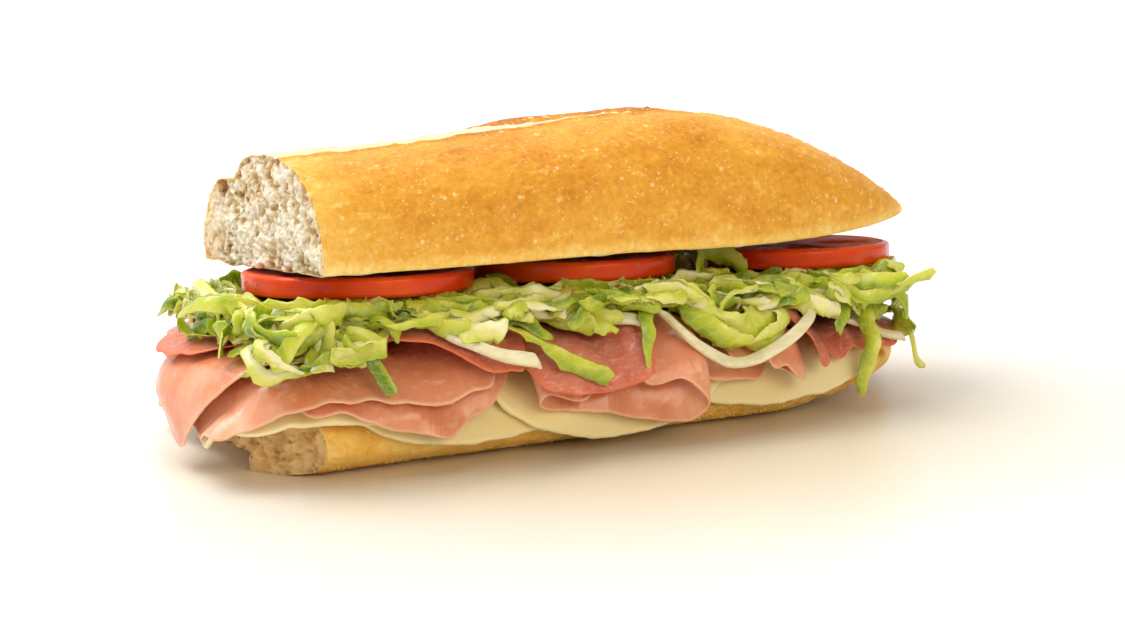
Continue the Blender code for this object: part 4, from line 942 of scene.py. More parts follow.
def bump(x0, v0, reach_x, reach_v, height):
    """A lift in one place."""
    return lambda x, v: height * np.exp(-((x - x0) / reach_x) ** 2 - ((v - v0) / reach_v) ** 2)


def frill(start, end, wave, height):
    """A lift that waves along the front edge, from start to end."""
    def lift(x, v):
        along = ramp(x, start, start + 0.008) * (1.0 - ramp(x, end - 0.008, end))
        swing = 0.5 + 0.5 * np.sin(2 * math.pi * (x - start) / wave)
        return height * along * ramp(-v, 0.022, 0.036) * swing
    return lift


print("points on a slice:", 2 * ((SLICE_RINGS - 1 + len(RIM_CURL)) * RIM_POINTS + 1))

# %% [markdown]
# Now the slices themselves, from the bread upwards, in the order in which they were laid: four of
# cheese, then the ham and the cured meat, each pushed a little further along the loaf. The corners
# are in metres on the board. Those with a negative v hang out at the front.

# %% Cheese
CHEESE_1 = ((-0.124, -0.014), (-0.121, -0.026), (-0.112, -0.033), (-0.100, -0.035),
            (-0.080, -0.037), (-0.062, -0.034), (-0.050, -0.020), (-0.048, 0.006),
            (-0.058, 0.030), (-0.080, 0.038), (-0.100, 0.032), (-0.110, 0.016), (-0.118, 0.000))
CHEESES = (("cheese_4", oval(0.030, -0.003, 0.044, 0.041)),
           ("cheese_2", oval(-0.056, -0.003, 0.043, 0.041)),
           ("cheese_1", CHEESE_1),
           ("cheese_3", oval(-0.018, -0.004, 0.042, 0.043)))
for seed, (node, outline) in enumerate(CHEESES):
    piece = make_slice(f"{node}_slice", outline, CHEESE_THICKNESS, cheese, "cheese", seed, ripple=0.0002)
    settle(piece, node)

# %% Ham and cured slices
HAM_C = ((-0.102, -0.034), (-0.093, -0.035), (-0.082, -0.039), (-0.073, -0.042),
         (-0.0675, -0.0435), (-0.062, -0.040), (-0.055, -0.037), (-0.047, -0.031),
         (-0.043, -0.014), (-0.048, 0.020), (-0.070, 0.038), (-0.096, 0.034),
         (-0.108, 0.006), (-0.107, -0.022))
HAM_B = ((-0.124, -0.027), (-0.118, -0.031), (-0.109, -0.033), (-0.104, -0.034),
         (-0.090, -0.034), (-0.072, -0.036), (-0.061, -0.035), (-0.053, -0.033),
         (-0.049, -0.018), (-0.054, 0.006), (-0.072, 0.014), (-0.094, 0.015),
         (-0.108, 0.012), (-0.114, 0.004), (-0.121, -0.010))
HAM_A = ((-0.126, -0.001), (-0.126, -0.008), (-0.121, -0.013), (-0.116, -0.022),
         (-0.110, -0.025), (-0.099, -0.026), (-0.083, -0.022), (-0.070, -0.020),
         (-0.056, -0.015), (-0.054, 0.006), (-0.062, 0.030), (-0.082, 0.040),
         (-0.102, 0.036), (-0.112, 0.022), (-0.117, 0.008))
CURED_LEFT = ((-0.115, 0.004), (-0.108, -0.014), (-0.096, -0.026), (-0.080, -0.028),
              (-0.068, -0.030), (-0.059, -0.033), (-0.052, -0.034), (-0.047, -0.033),
              (-0.043, -0.020), (-0.045, 0.008), (-0.058, 0.033), (-0.082, 0.040),
              (-0.104, 0.034), (-0.114, 0.018))
CURED_MIDDLE = ((-0.047, -0.031), (-0.044, -0.036), (-0.038, -0.038), (-0.032, -0.039),
                (-0.026, -0.039), (-0.020, -0.038), (-0.014, -0.037), (-0.009, -0.030),
                (-0.006, -0.010), (-0.010, 0.022), (-0.028, 0.038), (-0.040, 0.030),
                (-0.044, 0.006), (-0.046, -0.016))
HAM_UNDER_ONION = ((0.002, -0.030), (0.008, -0.037), (0.018, -0.038), (0.025, -0.037),
                   (0.030, -0.030), (0.034, -0.014), (0.030, 0.016), (0.014, 0.036),
                   (-0.002, 0.030), (-0.003, -0.008))
CURED_RIGHT = ((0.032, -0.030), (0.036, -0.034), (0.042, -0.038), (0.046, -0.035),
               (0.050, -0.036), (0.055, -0.034), (0.064, -0.034), (0.071, -0.032),
               (0.074, -0.020), (0.072, 0.006), (0.058, 0.030), (0.042, 0.034),
               (0.034, 0.020), (0.030, -0.008))
FOLD_SECTION = ((-0.028, 0.0042), (-0.036, 0.0044), (-0.0410, 0.0036), (-0.0425, 0.0021),
                (-0.0410, 0.0005), (-0.036, 0.0), (-0.025, 0.0), (-0.012, 0.0003),
                (-0.006, 0.0006), (0.001, 0.0014), (0.0036, 0.0036), (0.0020, 0.0060),
                (-0.003, 0.0070), (-0.009, 0.0068), (-0.015, 0.0058))
FOLD_FRONT = ((0.0, -0.036), (0.012, -0.037), (0.018, -0.039), (0.030, -0.041),
              (0.045, -0.0445), (0.058, -0.0470), (0.066, -0.0435), (0.072, -0.0380),
              (0.084, -0.0345))
FOLD_BACK_V = 0.014
CORNER_SECTION = ((0.012, 0.0), (0.024, 0.0), (0.0335, 0.0004), (0.0362, 0.0020),
                  (0.0335, 0.0038), (0.028, 0.0042), (0.022, 0.0040))
CORNER_FRONT = ((0.0, -0.030), (0.010, -0.035), (0.018, -0.038), (0.024, -0.041),
                (0.029, -0.038), (0.035, -0.032))
CORNER_BACK_V = 0.030


def fold_outline(front, back_v, length):
    """The flat outline of a folded slice: its front corners, spread over its length, and its back."""
    back = [(0.98 * length, back_v - 0.006), (0.5 * length, back_v), (0.02 * length, back_v - 0.006)]
    scale = length / front[-1][0]
    return [(u * scale, v) for u, v in front] + back


fold_path, fold_length = folded(FOLD_SECTION)
corner_path, corner_length = folded(CORNER_SECTION)
MEATS = (
    ("ham_3", HAM_C, HAM_THICKNESS, ham, dict(lift=bump(-0.068, -0.044, 0.006, 0.005, 0.0022))),
    ("ham_2", HAM_B, HAM_THICKNESS, ham, {}),
    ("ham_5", HAM_UNDER_ONION, HAM_THICKNESS, ham, {}),
    ("ham_4", fold_outline(FOLD_FRONT, FOLD_BACK_V, fold_length), HAM_THICKNESS, ham,
     dict(path=fold_path, flatten=0.47)),
    ("cured_2", CURED_MIDDLE, CURED_THICKNESS, cured, {}),
    ("ham_1", HAM_A, HAM_THICKNESS, ham, dict(lift=bump(-0.108, -0.020, 0.020, 0.006, 0.0012))),
    ("cured_1", CURED_LEFT, CURED_THICKNESS, cured, dict(lift=bump(-0.072, -0.028, 0.020, 0.009, 0.0046))),
    ("ham_6", fold_outline(CORNER_FRONT, CORNER_BACK_V, corner_length), HAM_THICKNESS, ham,
     dict(path=corner_path, flatten=0.65)),
    ("cured_3", CURED_RIGHT, CURED_THICKNESS, cured, dict(lift=frill(0.034, 0.062, 0.0085, 0.0022))),
)
for seed, (node, outline, thickness, look, more) in enumerate(MEATS, 10):
    piece = make_slice(f"{node}_slice", outline, thickness, look, node.split("_")[0], seed, **more)
    settle(piece, node)

# %% [markdown]
# Tomato slices are thick discs. Their rim is the skin: even, glossy and deep red. The cut faces show
# wet flesh, a firm wall outside and soft chambers with seeds inside, which here are waves and pits
# cut into the face. The slices lie level with the tilt of the roll above.

# %% Tomatoes
TOMATO_ROLL = math.radians(6.0)
TOMATO_THICKNESS, TOMATO_CORNER = 0.0052, 0.0012
TOMATO_UNDERSIDE = ((-0.100, 0.0398), (-0.071, 0.0388), (-0.010, 0.0368), (0.056, 0.0338),
                    (0.090, 0.0330))
TOMATOES = ((-0.0708, -0.0010, 0.0585), (-0.0105, -0.0020, 0.0545), (0.0560, -0.0020, 0.0550))
TOMATO_AROUND, FACE_POINTS, CORNER_POINTS = 240, 40, 7
(LEFT_X, LEFT_Z), (RIGHT_X, RIGHT_Z) = TOMATO_UNDERSIDE[1], TOMATO_UNDERSIDE[-2]
TOMATO_PITCH = -math.atan((RIGHT_Z - LEFT_Z) / (RIGHT_X - LEFT_X))
CHAMBERS, CHAMBER_DEPTH, PIT_DEPTH = 5.0, 0.0007, 0.0006


def tomato_underside(x, y):
    """The height at which the tomatoes lie on the heap."""
    return through(x, TOMATO_UNDERSIDE) - y * math.tan(TOMATO_ROLL)


def tomato_look():
    look, tree, shader = shader_of("wet_tomato", colour(208, 52, 16), 0.24, 0.25, (1.0, 0.30, 0.08),
                                   0.0020, coat=0.05, coat_roughness=0.10)
    shader.inputs["Specular IOR Level"].default_value = 0.28
    at = place(tree)
    cloud = noise_node(tree, at, 60.0, 3.0)
    skin = blend_by(tree, cloud, (0.3, colour(212, 52, 2)), (0.7, colour(232, 82, 10)))
    flesh = blend_by(tree, noise_node(tree, at, 160.0, 4.0, 0.6, 1.0), (0.3, colour(166, 50, 12)),
                     (0.6, colour(202, 80, 26)), (0.8, colour(228, 128, 60)))
    base = mix(tree, number(tree, "flesh"), skin, flesh)
    finish_look(tree, shader, base, step(tree, number(tree, "flesh"), 0.0, 1.0, 0.22, 0.62),
                ((noise_node(tree, at, 220.0, 3.0), 0.0004, 0.5),))
    return look


tomato = tomato_look()


def tomato_profile(radius, half):
    """Radius and height from the middle of the upper face, round the rim, to that of the lower face."""
    face_r = np.linspace(0.02, 1.0, FACE_POINTS) * (radius - TOMATO_CORNER)
    corner = 0.5 * math.pi * np.linspace(0.12, 1.0, CORNER_POINTS)
    rim_r = radius - TOMATO_CORNER + TOMATO_CORNER * np.sin(corner)
    rim_z = half - TOMATO_CORNER + TOMATO_CORNER * np.cos(corner)
    r = np.r_[face_r, rim_r, rim_r[::-1], face_r[::-1]]
    z = np.r_[np.full(FACE_POINTS, half), rim_z, -rim_z[::-1], np.full(FACE_POINTS, -half)]
    return r[:, None], z[:, None]


def make_tomato(name, x, y, diameter, seed):
    radius, half = 0.5 * diameter, 0.5 * TOMATO_THICKNESS
    angle = 2.0 * math.pi * np.arange(TOMATO_AROUND) / TOMATO_AROUND
    turn = np.stack([np.cos(angle), np.sin(angle)], 1)
    wobble = 1.0 + 0.006 * noise_xy(turn[:, 0] * 2, turn[:, 1] * 2, 1.0, 2, seed)
    r, z = tomato_profile(radius, half)
    rows = len(r)
    upper = np.repeat((1.0, -1.0), rows // 2)[:, None]
    grid = np.stack([r * turn[:, 0] * wobble, r * turn[:, 1] * wobble, np.repeat(z, TOMATO_AROUND, 1)], -1)
    share = np.clip(r / radius, 0, 1) * np.ones(TOMATO_AROUND)
    flat = np.abs(np.repeat(z, TOMATO_AROUND, 1)) > half - 1e-6
    chambers = ramp(np.cos(CHAMBERS * angle + seed)[None, :] + 0.3 * noise_at(grid, 0.006), -0.1, 0.5)
    chambers = chambers * ramp(share, 0.25, 0.36) * (1.0 - ramp(share, 0.76, 0.86))
    grid[..., 2] -= upper * flat * chambers * (CHAMBER_DEPTH + PIT_DEPTH * noise_at(grid, 0.0032, 2))
    grid[..., 2] -= upper * flat * 0.00015 * (1.0 + noise_at(grid, 0.0045, 2)) * (share < 0.93)
    bulge = (~flat) * 0.0003 * noise_at(grid, 0.012, 2)
    grid[..., :2] *= 1.0 + (bulge / radius)[..., None]
    # Tilted with the roll above it, then set down in its place.
    px, py, pz = grid.reshape(-1, 3).T
    cr, sr = math.cos(-TOMATO_ROLL), math.sin(-TOMATO_ROLL)
    cp, sp = math.cos(TOMATO_PITCH), math.sin(TOMATO_PITCH)
    py, pz = py * cr - pz * sr, py * sr + pz * cr
    px, pz = px * cp + pz * sp, -px * sp + pz * cp
    middle = float(tomato_underside(x, y)) + half
    points = np.stack([px + x, py + y, pz + middle], 1)
    faces = [tuple(f) for f in grid_faces(rows, TOMATO_AROUND)]
    last = (rows - 1) * TOMATO_AROUND
    caps = [tuple(range(TOMATO_AROUND)), tuple(range(last, last + TOMATO_AROUND))[::-1]]
    flesh = (flat * ramp(share, 0.955, 0.93)).reshape(-1)
    return face_out(make_piece(name, points, faces + caps, (tomato,), "tomato", {"flesh": flesh}))


tomato_slices = []
for place_in_row, (x, y, diameter) in enumerate(TOMATOES, 1):
    made = make_tomato(f"tomato_slice_{place_in_row}", x, y, diameter, place_in_row)
    tomato_slices.append(settle(made, f"tomato_{place_in_row}"))

# %% [markdown]
# Onion. Each arc is a stretch of one ring of the bulb: a strip with a blunt, almost square section,
# white and watery, with its fibres running along it. It lies on the meat, so it follows the stack.

# %% Onion arcs
ONION_HEIGHT, ONION_WIDTH = 0.0018, 0.0015
ONIONS = (("onion_1", ((-0.074, -0.024), (-0.066, -0.030), (-0.060, -0.032), (-0.053, -0.034),
                       (-0.045, -0.035))),
          ("onion_2", ((-0.037, -0.025), (-0.032, -0.029), (-0.022, -0.030), (-0.014, -0.031),
                       (-0.010, -0.032))),
          ("onion_3", ((-0.006, -0.030), (-0.001, -0.034), (0.006, -0.036), (0.014, -0.037),
                       (0.024, -0.036), (0.034, -0.034), (0.041, -0.031), (0.046, -0.024))),
          ("onion_4", ((0.044, -0.030), (0.050, -0.030), (0.059, -0.031), (0.065, -0.033), (0.071, -0.034))))
ONION_STATIONS, ONION_SIDES, ONION_BLUNT = 70, 20, 0.6
ONION_SPAN = 17


def onion_look():
    look, tree, shader = shader_of("wet_onion", colour(232, 226, 186), 0.28, 0.5, (1.0, 0.95, 0.6),
                                   0.0030, coat=0.3, coat_roughness=0.15)
    at = place(tree, (0.35, 1.0, 1.0))
    fibre = noise_node(tree, at, 700.0, 3.0)
    base = blend_by(tree, fibre, (0.3, colour(222, 212, 166)), (0.7, colour(240, 235, 205)))
    finish_look(tree, shader, base, None, ((fibre, 0.0002, 0.4),))
    return look


onion = onion_look()


def make_onion(name, path):
    line = rounded(path, ONION_STATIONS)
    along = np.gradient(line, axis=0)
    along /= np.linalg.norm(along, axis=1)[:, None]
    inward = np.stack([-along[:, 1], along[:, 0]], 1)
    angle = 2.0 * math.pi * np.arange(ONION_SIDES) / ONION_SIDES
    c, s = np.cos(angle), np.sin(angle)
    side = 0.5 * ONION_WIDTH * (1.0 + np.sign(c) * np.abs(c) ** ONION_BLUNT)
    up = 0.5 * ONION_HEIGHT * (1.0 + np.sign(s) * np.abs(s) ** ONION_BLUNT)
    ends = np.minimum(np.arange(ONION_STATIONS), np.arange(ONION_STATIONS)[::-1]) / 3.0
    size = np.sqrt(np.clip(1.0 - (1.0 - np.clip(ends, 0.15, 1.0)) ** 2, 0, 1))
    flat = line[:, None, :] + inward[:, None, :] * (side * size[:, None])[..., None]
    base = pile.under(flat[..., 0], flat[..., 1]).max(axis=1, keepdims=True) + LAYER_GAP
    kernel = np.ones(ONION_SPAN) / ONION_SPAN
    base = np.convolve(np.pad(base[:, 0], ONION_SPAN // 2, mode="edge"), kernel, "valid")[:, None]
    n = base + up * size[:, None] + 0.0001 * noise_xy(flat[..., 0], flat[..., 1], 0.003)
    points = drape(flat[..., 0], flat[..., 1], n).reshape(-1, 3)
    faces = [tuple(f) for f in grid_faces(ONION_STATIONS, ONION_SIDES)]
    end = (ONION_STATIONS - 1) * ONION_SIDES
    faces += [tuple(range(ONION_SIDES))[::-1], tuple(range(end, end + ONION_SIDES))]
    pile.cover(flat[..., 0].ravel(), flat[..., 1].ravel(), n.ravel())
    return face_out(make_piece(name, points, faces, (onion,), "onion"))


for node, path in ONIONS:
    settle(make_onion(f"{node}_arc", path), node)

# %% [markdown]
# Shredded lettuce is what makes this sandwich, and it is the hardest thing in it. A head of iceberg
# is cut across into strips, so each strip is a narrow ribbon of leaf: pale and stiff near a rib, lime
# green and ruffled near the leaf's edge, curled because the leaf was curved. Geometry Nodes turn
# lines into such ribbons. The tree below sweeps a bent, lens-shaped profile along each line, scales
# it by the line's radius, and then ruffles it with noise that grows towards the ribbon's edges.

# %% A Geometry Nodes tree for ribbons of leaf
# The noise seldom leaves the middle third of its range, so its push is raised to the full height.
RUFFLE_GAIN = 3.2
RUFFLE_IN_THE_MIDDLE = 0.15


def start_tree(name, entry, sizes, look, result):
    """An empty tree with named inputs; sizes are (name, kind, value)."""
    tree = bpy.data.node_groups.new(name, "GeometryNodeTree")
    sockets = tree.interface
    sockets.new_socket(entry, in_out="INPUT", socket_type="NodeSocketGeometry")
    for size, kind, value in sizes:
        sockets.new_socket(size, in_out="INPUT", socket_type=f"NodeSocket{kind}").default_value = value
    sockets.new_socket(look, in_out="INPUT", socket_type="NodeSocketMaterial")
    sockets.new_socket(result, in_out="OUTPUT", socket_type="NodeSocketGeometry")
    return tree, tree.nodes.new("NodeGroupInput").outputs


def end_tree(tree, geometry, look):
    """Makes real mesh of the instances, gives it its material and sends it out."""
    real = add(tree, "GeometryNodeRealizeInstances", {"Geometry": geometry})
    coloured = add(tree, "GeometryNodeSetMaterial", {"Geometry": real.outputs[0], "Material": look})
    add(tree, "NodeGroupOutput", {0: coloured.outputs[0]})
    return tree


def ribbon_tree():
    tree, given = start_tree("leaf_ribbons", "Lines", (
        ("Half Width", "Float", 0.0024), ("Thickness", "Float", 0.0004), ("Cupping", "Float", 0.0007),
        ("Ruffle Height", "Float", 0.0013), ("Ruffle Length", "Float", 0.0056),
        ("Sides", "Int", 12), ("Seed", "Int", 4)), "Leaf", "Ribbons")
    # The profile: a flat lens, bent like a gutter; "across" runs from -1 to 1 over its width.
    ring = add(tree, "GeometryNodeCurvePrimitiveCircle", {"Resolution": given["Sides"], "Radius": 1.0})
    spot = add(tree, "GeometryNodeInputPosition").outputs[0]
    parts = add(tree, "ShaderNodeSeparateXYZ", {0: spot}).outputs
    bowl = maths(tree, "MULTIPLY", maths(tree, "MULTIPLY", parts[0], parts[0]), given["Cupping"])
    thick = maths(tree, "MULTIPLY", parts[1], maths(tree, "MULTIPLY", given["Thickness"], 0.5))
    wide = maths(tree, "MULTIPLY", parts[0], given["Half Width"])
    shaped = add(tree, "ShaderNodeCombineXYZ", {0: wide, 1: maths(tree, "ADD", thick, bowl)}).outputs[0]
    across = add(tree, "GeometryNodeStoreNamedAttribute",
                 {"Geometry": ring.outputs[0], "Name": "across", "Value": parts[0]},
                 data_type="FLOAT", domain="POINT")
    profile = add(tree, "GeometryNodeSetPosition", {"Geometry": across.outputs[0], "Position": shaped})
    # Each line keeps its own random number and the distance along it.
    chance = add(tree, "FunctionNodeRandomValue", {"Seed": given["Seed"]}, data_type="FLOAT")
    lines = add(tree, "GeometryNodeStoreNamedAttribute",
                {"Geometry": given["Lines"], "Name": "chance", "Value": chance.outputs[1]},
                data_type="FLOAT", domain="CURVE")
    far = add(tree, "GeometryNodeSplineParameter")
    lines = add(tree, "GeometryNodeStoreNamedAttribute",
                {"Geometry": lines.outputs[0], "Name": "along", "Value": far.outputs["Length"]},
                data_type="FLOAT", domain="POINT")
    sweep = add(tree, "GeometryNodeCurveToMesh",
                {"Curve": lines.outputs[0], "Profile Curve": profile.outputs[0],
                 "Scale": add(tree, "GeometryNodeInputRadius").outputs[0], "Fill Caps": True})
    # Ruffles: noise along the normal, stronger at the edges of the ribbon.
    edge = add(tree, "GeometryNodeInputNamedAttribute", {"Name": "across"}, data_type="FLOAT").outputs[0]
    edge = maths(tree, "MULTIPLY", edge, edge)
    scale = maths(tree, "DIVIDE", 1.0, given["Ruffle Length"])
    wave = add(tree, "ShaderNodeTexNoise", {"Scale": scale, "Detail": 2.5, "Roughness": 0.55})
    push = add(tree, "ShaderNodeVectorMath", {0: wave.outputs["Color"], 1: (0.5, 0.5, 0.5)},
               operation="SUBTRACT").outputs[0]
    height = maths(tree, "MULTIPLY", given["Ruffle Height"], RUFFLE_GAIN)
    size = maths(tree, "MULTIPLY", maths(tree, "ADD", edge, RUFFLE_IN_THE_MIDDLE), height)
    push = add(tree, "ShaderNodeVectorMath", {0: push, "Scale": size}, operation="SCALE").outputs[0]
    ruffled = add(tree, "GeometryNodeSetPosition", {"Geometry": sweep.outputs[0], "Offset": push})
    return end_tree(tree, ruffled.outputs[0], given["Leaf"])


ribbons = ribbon_tree()


def grow(carrier, tree, **values):
    """Runs a tree on an object and returns its result as a plain mesh."""
    modifier = carrier.modifiers.new("grow", "NODES")
    modifier.node_group = tree
    named = {socket.name: socket.identifier for socket in tree.interface.items_tree
             if socket.in_out == "INPUT"}
    for key, value in values.items():
        modifier[named[key.replace("_", " ").title()]] = value
    bpy.context.view_layer.update()
    graph = bpy.context.evaluated_depsgraph_get()
    mesh = bpy.data.meshes.new_from_object(carrier.evaluated_get(graph))
    carrier.modifiers.remove(modifier)
    bpy.data.objects.remove(carrier, do_unlink=True)
    return mesh


print("the ribbon tree has", len(ribbons.nodes), "nodes")

# %% [markdown]
# The leaf. Its colour comes from three numbers: `chance`, one per ribbon, which says how pale and
# stiff or green and soft it is; `across`, so that a ribbon can have a pale middle and a bright edge;
# and `along`, for the thin veins. Leaf is thin, so much of its light comes through it.

# %% Leaf material
def leaf_look():
    look, tree, shader = shader_of("iceberg_leaf", colour(196, 214, 96), 0.33, 0.28, (0.7, 1.0, 0.25),
                                   0.0014, coat=0.3, coat_roughness=0.2)
    at = place(tree)
    across = number(tree, "across")
    cloud = noise_node(tree, at, 110.0, 3.0, 0.6)
    shade = uneven(tree, number(tree, "chance"), cloud, 1.1)
    shade = maths(tree, "ADD", shade, maths(tree, "MULTIPLY", across, 0.26))
    base = blend_by(tree, shade, (0.0, colour(242, 238, 186)), (0.22, colour(226, 226, 116)),
                    (0.5, colour(198, 206, 50)), (0.8, colour(160, 180, 24)), (1.0, colour(112, 138, 18)))
    edge = step(tree, maths(tree, "ABSOLUTE", across), 0.62, 1.0)
    base = mix(tree, maths(tree, "MULTIPLY", edge, 0.35), base, colour(206, 218, 52))
    lines = add(tree, "ShaderNodeCombineXYZ", {0: maths(tree, "MULTIPLY", number(tree, "along"), 1000.0),
                                               1: maths(tree, "MULTIPLY", across, 1.4)}).outputs[0]
    vein = add(tree, "ShaderNodeTexWave", {"Vector": lines, "Scale": 0.22, "Distortion": 2.6, "Detail": 2.0},
               bands_direction="DIAGONAL").outputs["Fac"]
    base = mix(tree, maths(tree, "MULTIPLY", step(tree, vein, 0.80, 1.0), 0.10), base, colour(240, 244, 206))
    # A net of fine veins: the borders between the cells of a Voronoi pattern.
    cells = add(tree, "ShaderNodeTexVoronoi", {"Vector": at, "Scale": 520.0}, feature="DISTANCE_TO_EDGE")
    net = step(tree, cells.outputs["Distance"], 0.08, 0.0)
    base = mix(tree, maths(tree, "MULTIPLY", net, 0.08), base, colour(238, 240, 190))
    finish_look(tree, shader, base, step(tree, cloud, 0.3, 0.7, 0.20, 0.34),
                ((noise_node(tree, at, 260.0, 3.0, 0.6), 0.0008, 0.5), (net, 0.0001, 0.3)))
    return look


leaf = leaf_look()
print("material:", leaf.name)

# %% [markdown]
# Where do the ribbons lie? The ones that stand out in front are listed one by one, as (x, y, z) in
# millimetres with a width: long ones that hang over the meat, the curl at the cut end, the cupped
# leaf over the onion, the ruffled leaf at the heel. Each one starts inside the heap.

# %% Ribbons listed one by one
PLACED = (
    (((-100, -20, 38), (-101, -31, 40), (-98, -37, 40), (-97, -39, 34), (-101, -39, 29)), 5.0),
    (((-86, -22, 37), (-88, -32, 39), (-87, -39, 33), (-85, -41, 26), (-83, -42, 20)), 4.0),
    (((-84, -22, 36), (-82, -34, 39), (-79, -39, 37), (-78, -37, 31)), 3.6),
    (((-56, -22, 37), (-56, -34, 39), (-46, -38, 34), (-38, -40, 28)), 5.0),
    (((-58, -24, 32), (-50, -37, 28), (-40, -41, 23), (-30, -43, 19), (-26, -44, 17)), 4.2),
    (((-8, -20, 32), (-9, -34, 30), (-12, -39, 24), (-16, -42, 17)), 3.8),
    (((4, -22, 33), (3, -36, 30), (8, -42, 24), (17, -43, 21)), 6.0),
    (((17, -43, 21), (27, -40, 22), (29, -38, 28), (20, -30, 31)), 5.5),
    (((46, -22, 32), (50, -36, 31), (49, -39, 25), (44, -41, 20)), 4.2),
    (((60, -20, 30), (59, -33, 29), (58, -40, 20), (56, -41, 12), (55, -41, 5)), 4.2),
    (((62, -18, 34), (70, -28, 38), (75, -28, 32), (74, -30, 24), (76, -31, 19)), 8.0),
    (((66, -12, 28), (76, -26, 22), (75, -30, 16), (73, -32, 11), (77, -33, 7)), 3.0),
    (((-96, -10, 36), (-113, -10, 41), (-117, 2, 38), (-117, 6, 33), (-113, -2, 30), (-102, -10, 30)), 4.0),
    (((-100, -20, 32), (-112, -27, 34), (-115, -33, 31), (-112, -36, 28), (-104, -37, 29)), 4.2),
    (((-98, -6, 32), (-111, -14, 36), (-116, -18, 34), (-117, -19, 29)), 4.6),
    (((-74, -22, 36), (-72, -33, 37), (-66, -38, 33), (-60, -38, 30)), 4.6),
    (((-30, -22, 35), (-28, -33, 36), (-22, -38, 32), (-17, -37, 28)), 5.0),
    (((-16, -20, 34), (-14, -33, 37), (-5, -36, 35), (2, -34, 33)), 5.0),
    (((30, -22, 33), (34, -33, 34), (41, -37, 30), (44, -36, 25)), 4.8),
    (((-70, -22, 33), (-79, -34, 33), (-86, -38, 29)), 4.2),
    (((-40, -22, 32), (-33, -35, 31), (-25, -38, 27)), 4.6),
    (((62, -4, 32), (76, -10, 34), (81, -2, 29), (79, 4, 24)), 6.0),
    (((40, 10, 31), (56, 29, 32), (58, 37, 25)), 5.0),
    (((34, 20, 33), (30, 33, 33), (24, 38, 26)), 5.0),
    (((2, 20, 34), (-4, 33, 33), (-6, 39, 26), (-2, 40, 20)), 4.6),
    (((-26, 20, 34), (-30, 33, 34), (-38, 38, 27)), 5.0),
    (((-56, 20, 35), (-60, 33, 34), (-56, 39, 27), (-52, 41, 20)), 4.6),
    (((-84, 20, 35), (-88, 33, 34), (-95, 37, 28)), 5.0),
    (((14, -26, 36), (20, -18, 40), (25, -14, 42), (30, -24, 38)), 5.0),
    (((19, -10, 36), (21, -6, 42), (25, 2, 42), (24, 8, 36)), 6.0),
    (((18, 12, 36), (22, 4, 41), (26, -4, 42), (25, -12, 37)), 6.0),
    (((-42, -24, 37), (-41, -17, 41), (-37, -15, 41), (-33, -24, 37)), 4.5),
)
RIBBON_POINTS = 26
LEAF_CLEARANCE = 0.0011


def keep_clear(points):
    """Moves the points of ribbons out of the stack below and from under the tomatoes above."""
    x, v, n = undrape(points)
    short = pile.under(x, v) + LEAF_CLEARANCE - n
    flat_x = np.maximum(x, END_X + 0.004)
    lift = drape(flat_x, v, n + short) - drape(flat_x, v, n)
    raised = points + np.where(short[:, None] > 0.0, lift, 0.0)
    ceiling = tomato_underside(raised[:, 0], raised[:, 1]) - LEAF_CLEARANCE
    below = np.zeros(len(raised))
    for cx, cy, diameter in TOMATOES:
        away = np.hypot(raised[:, 0] - cx, raised[:, 1] - cy)
        below = np.maximum(below, ramp(away, 0.5 * diameter + 0.002, 0.5 * diameter - 0.001))
    lowered = raised[:, 2] + below * np.minimum(ceiling - raised[:, 2], 0.0)
    raised[:, 2] = np.where(below > 0.0, lowered, raised[:, 2])
    return raised


print(len(PLACED), "ribbons are placed by hand")

# %% [markdown]
# The rest of the heap is drawn by a seeded rule, as scattering by hand would take hundreds of lines
# of numbers. Each ribbon starts on the heap's own surface, sets off mostly along the loaf, turns
# steadily one way, as a strip of a round leaf does, and twists a little. Points that would leave the
# band between the meat and the tomatoes are drawn back into it. Both ends of the heap get shorter
# rows of their own: some lie along the top edge, the rest bow out over the face.

# %% Ribbons drawn by a rule
CORE_START, CORE_END = -0.1080, 0.0690
HEAP_FACE_Y, HEAP_INNER_Y = 0.0262, 0.020
USUAL_WIDTHS, RIBBON_LENGTHS = (2.2, 5.4), (0.014, 0.042)
END_WIDTHS, END_CORNERS = (2.2, 5.0), 6


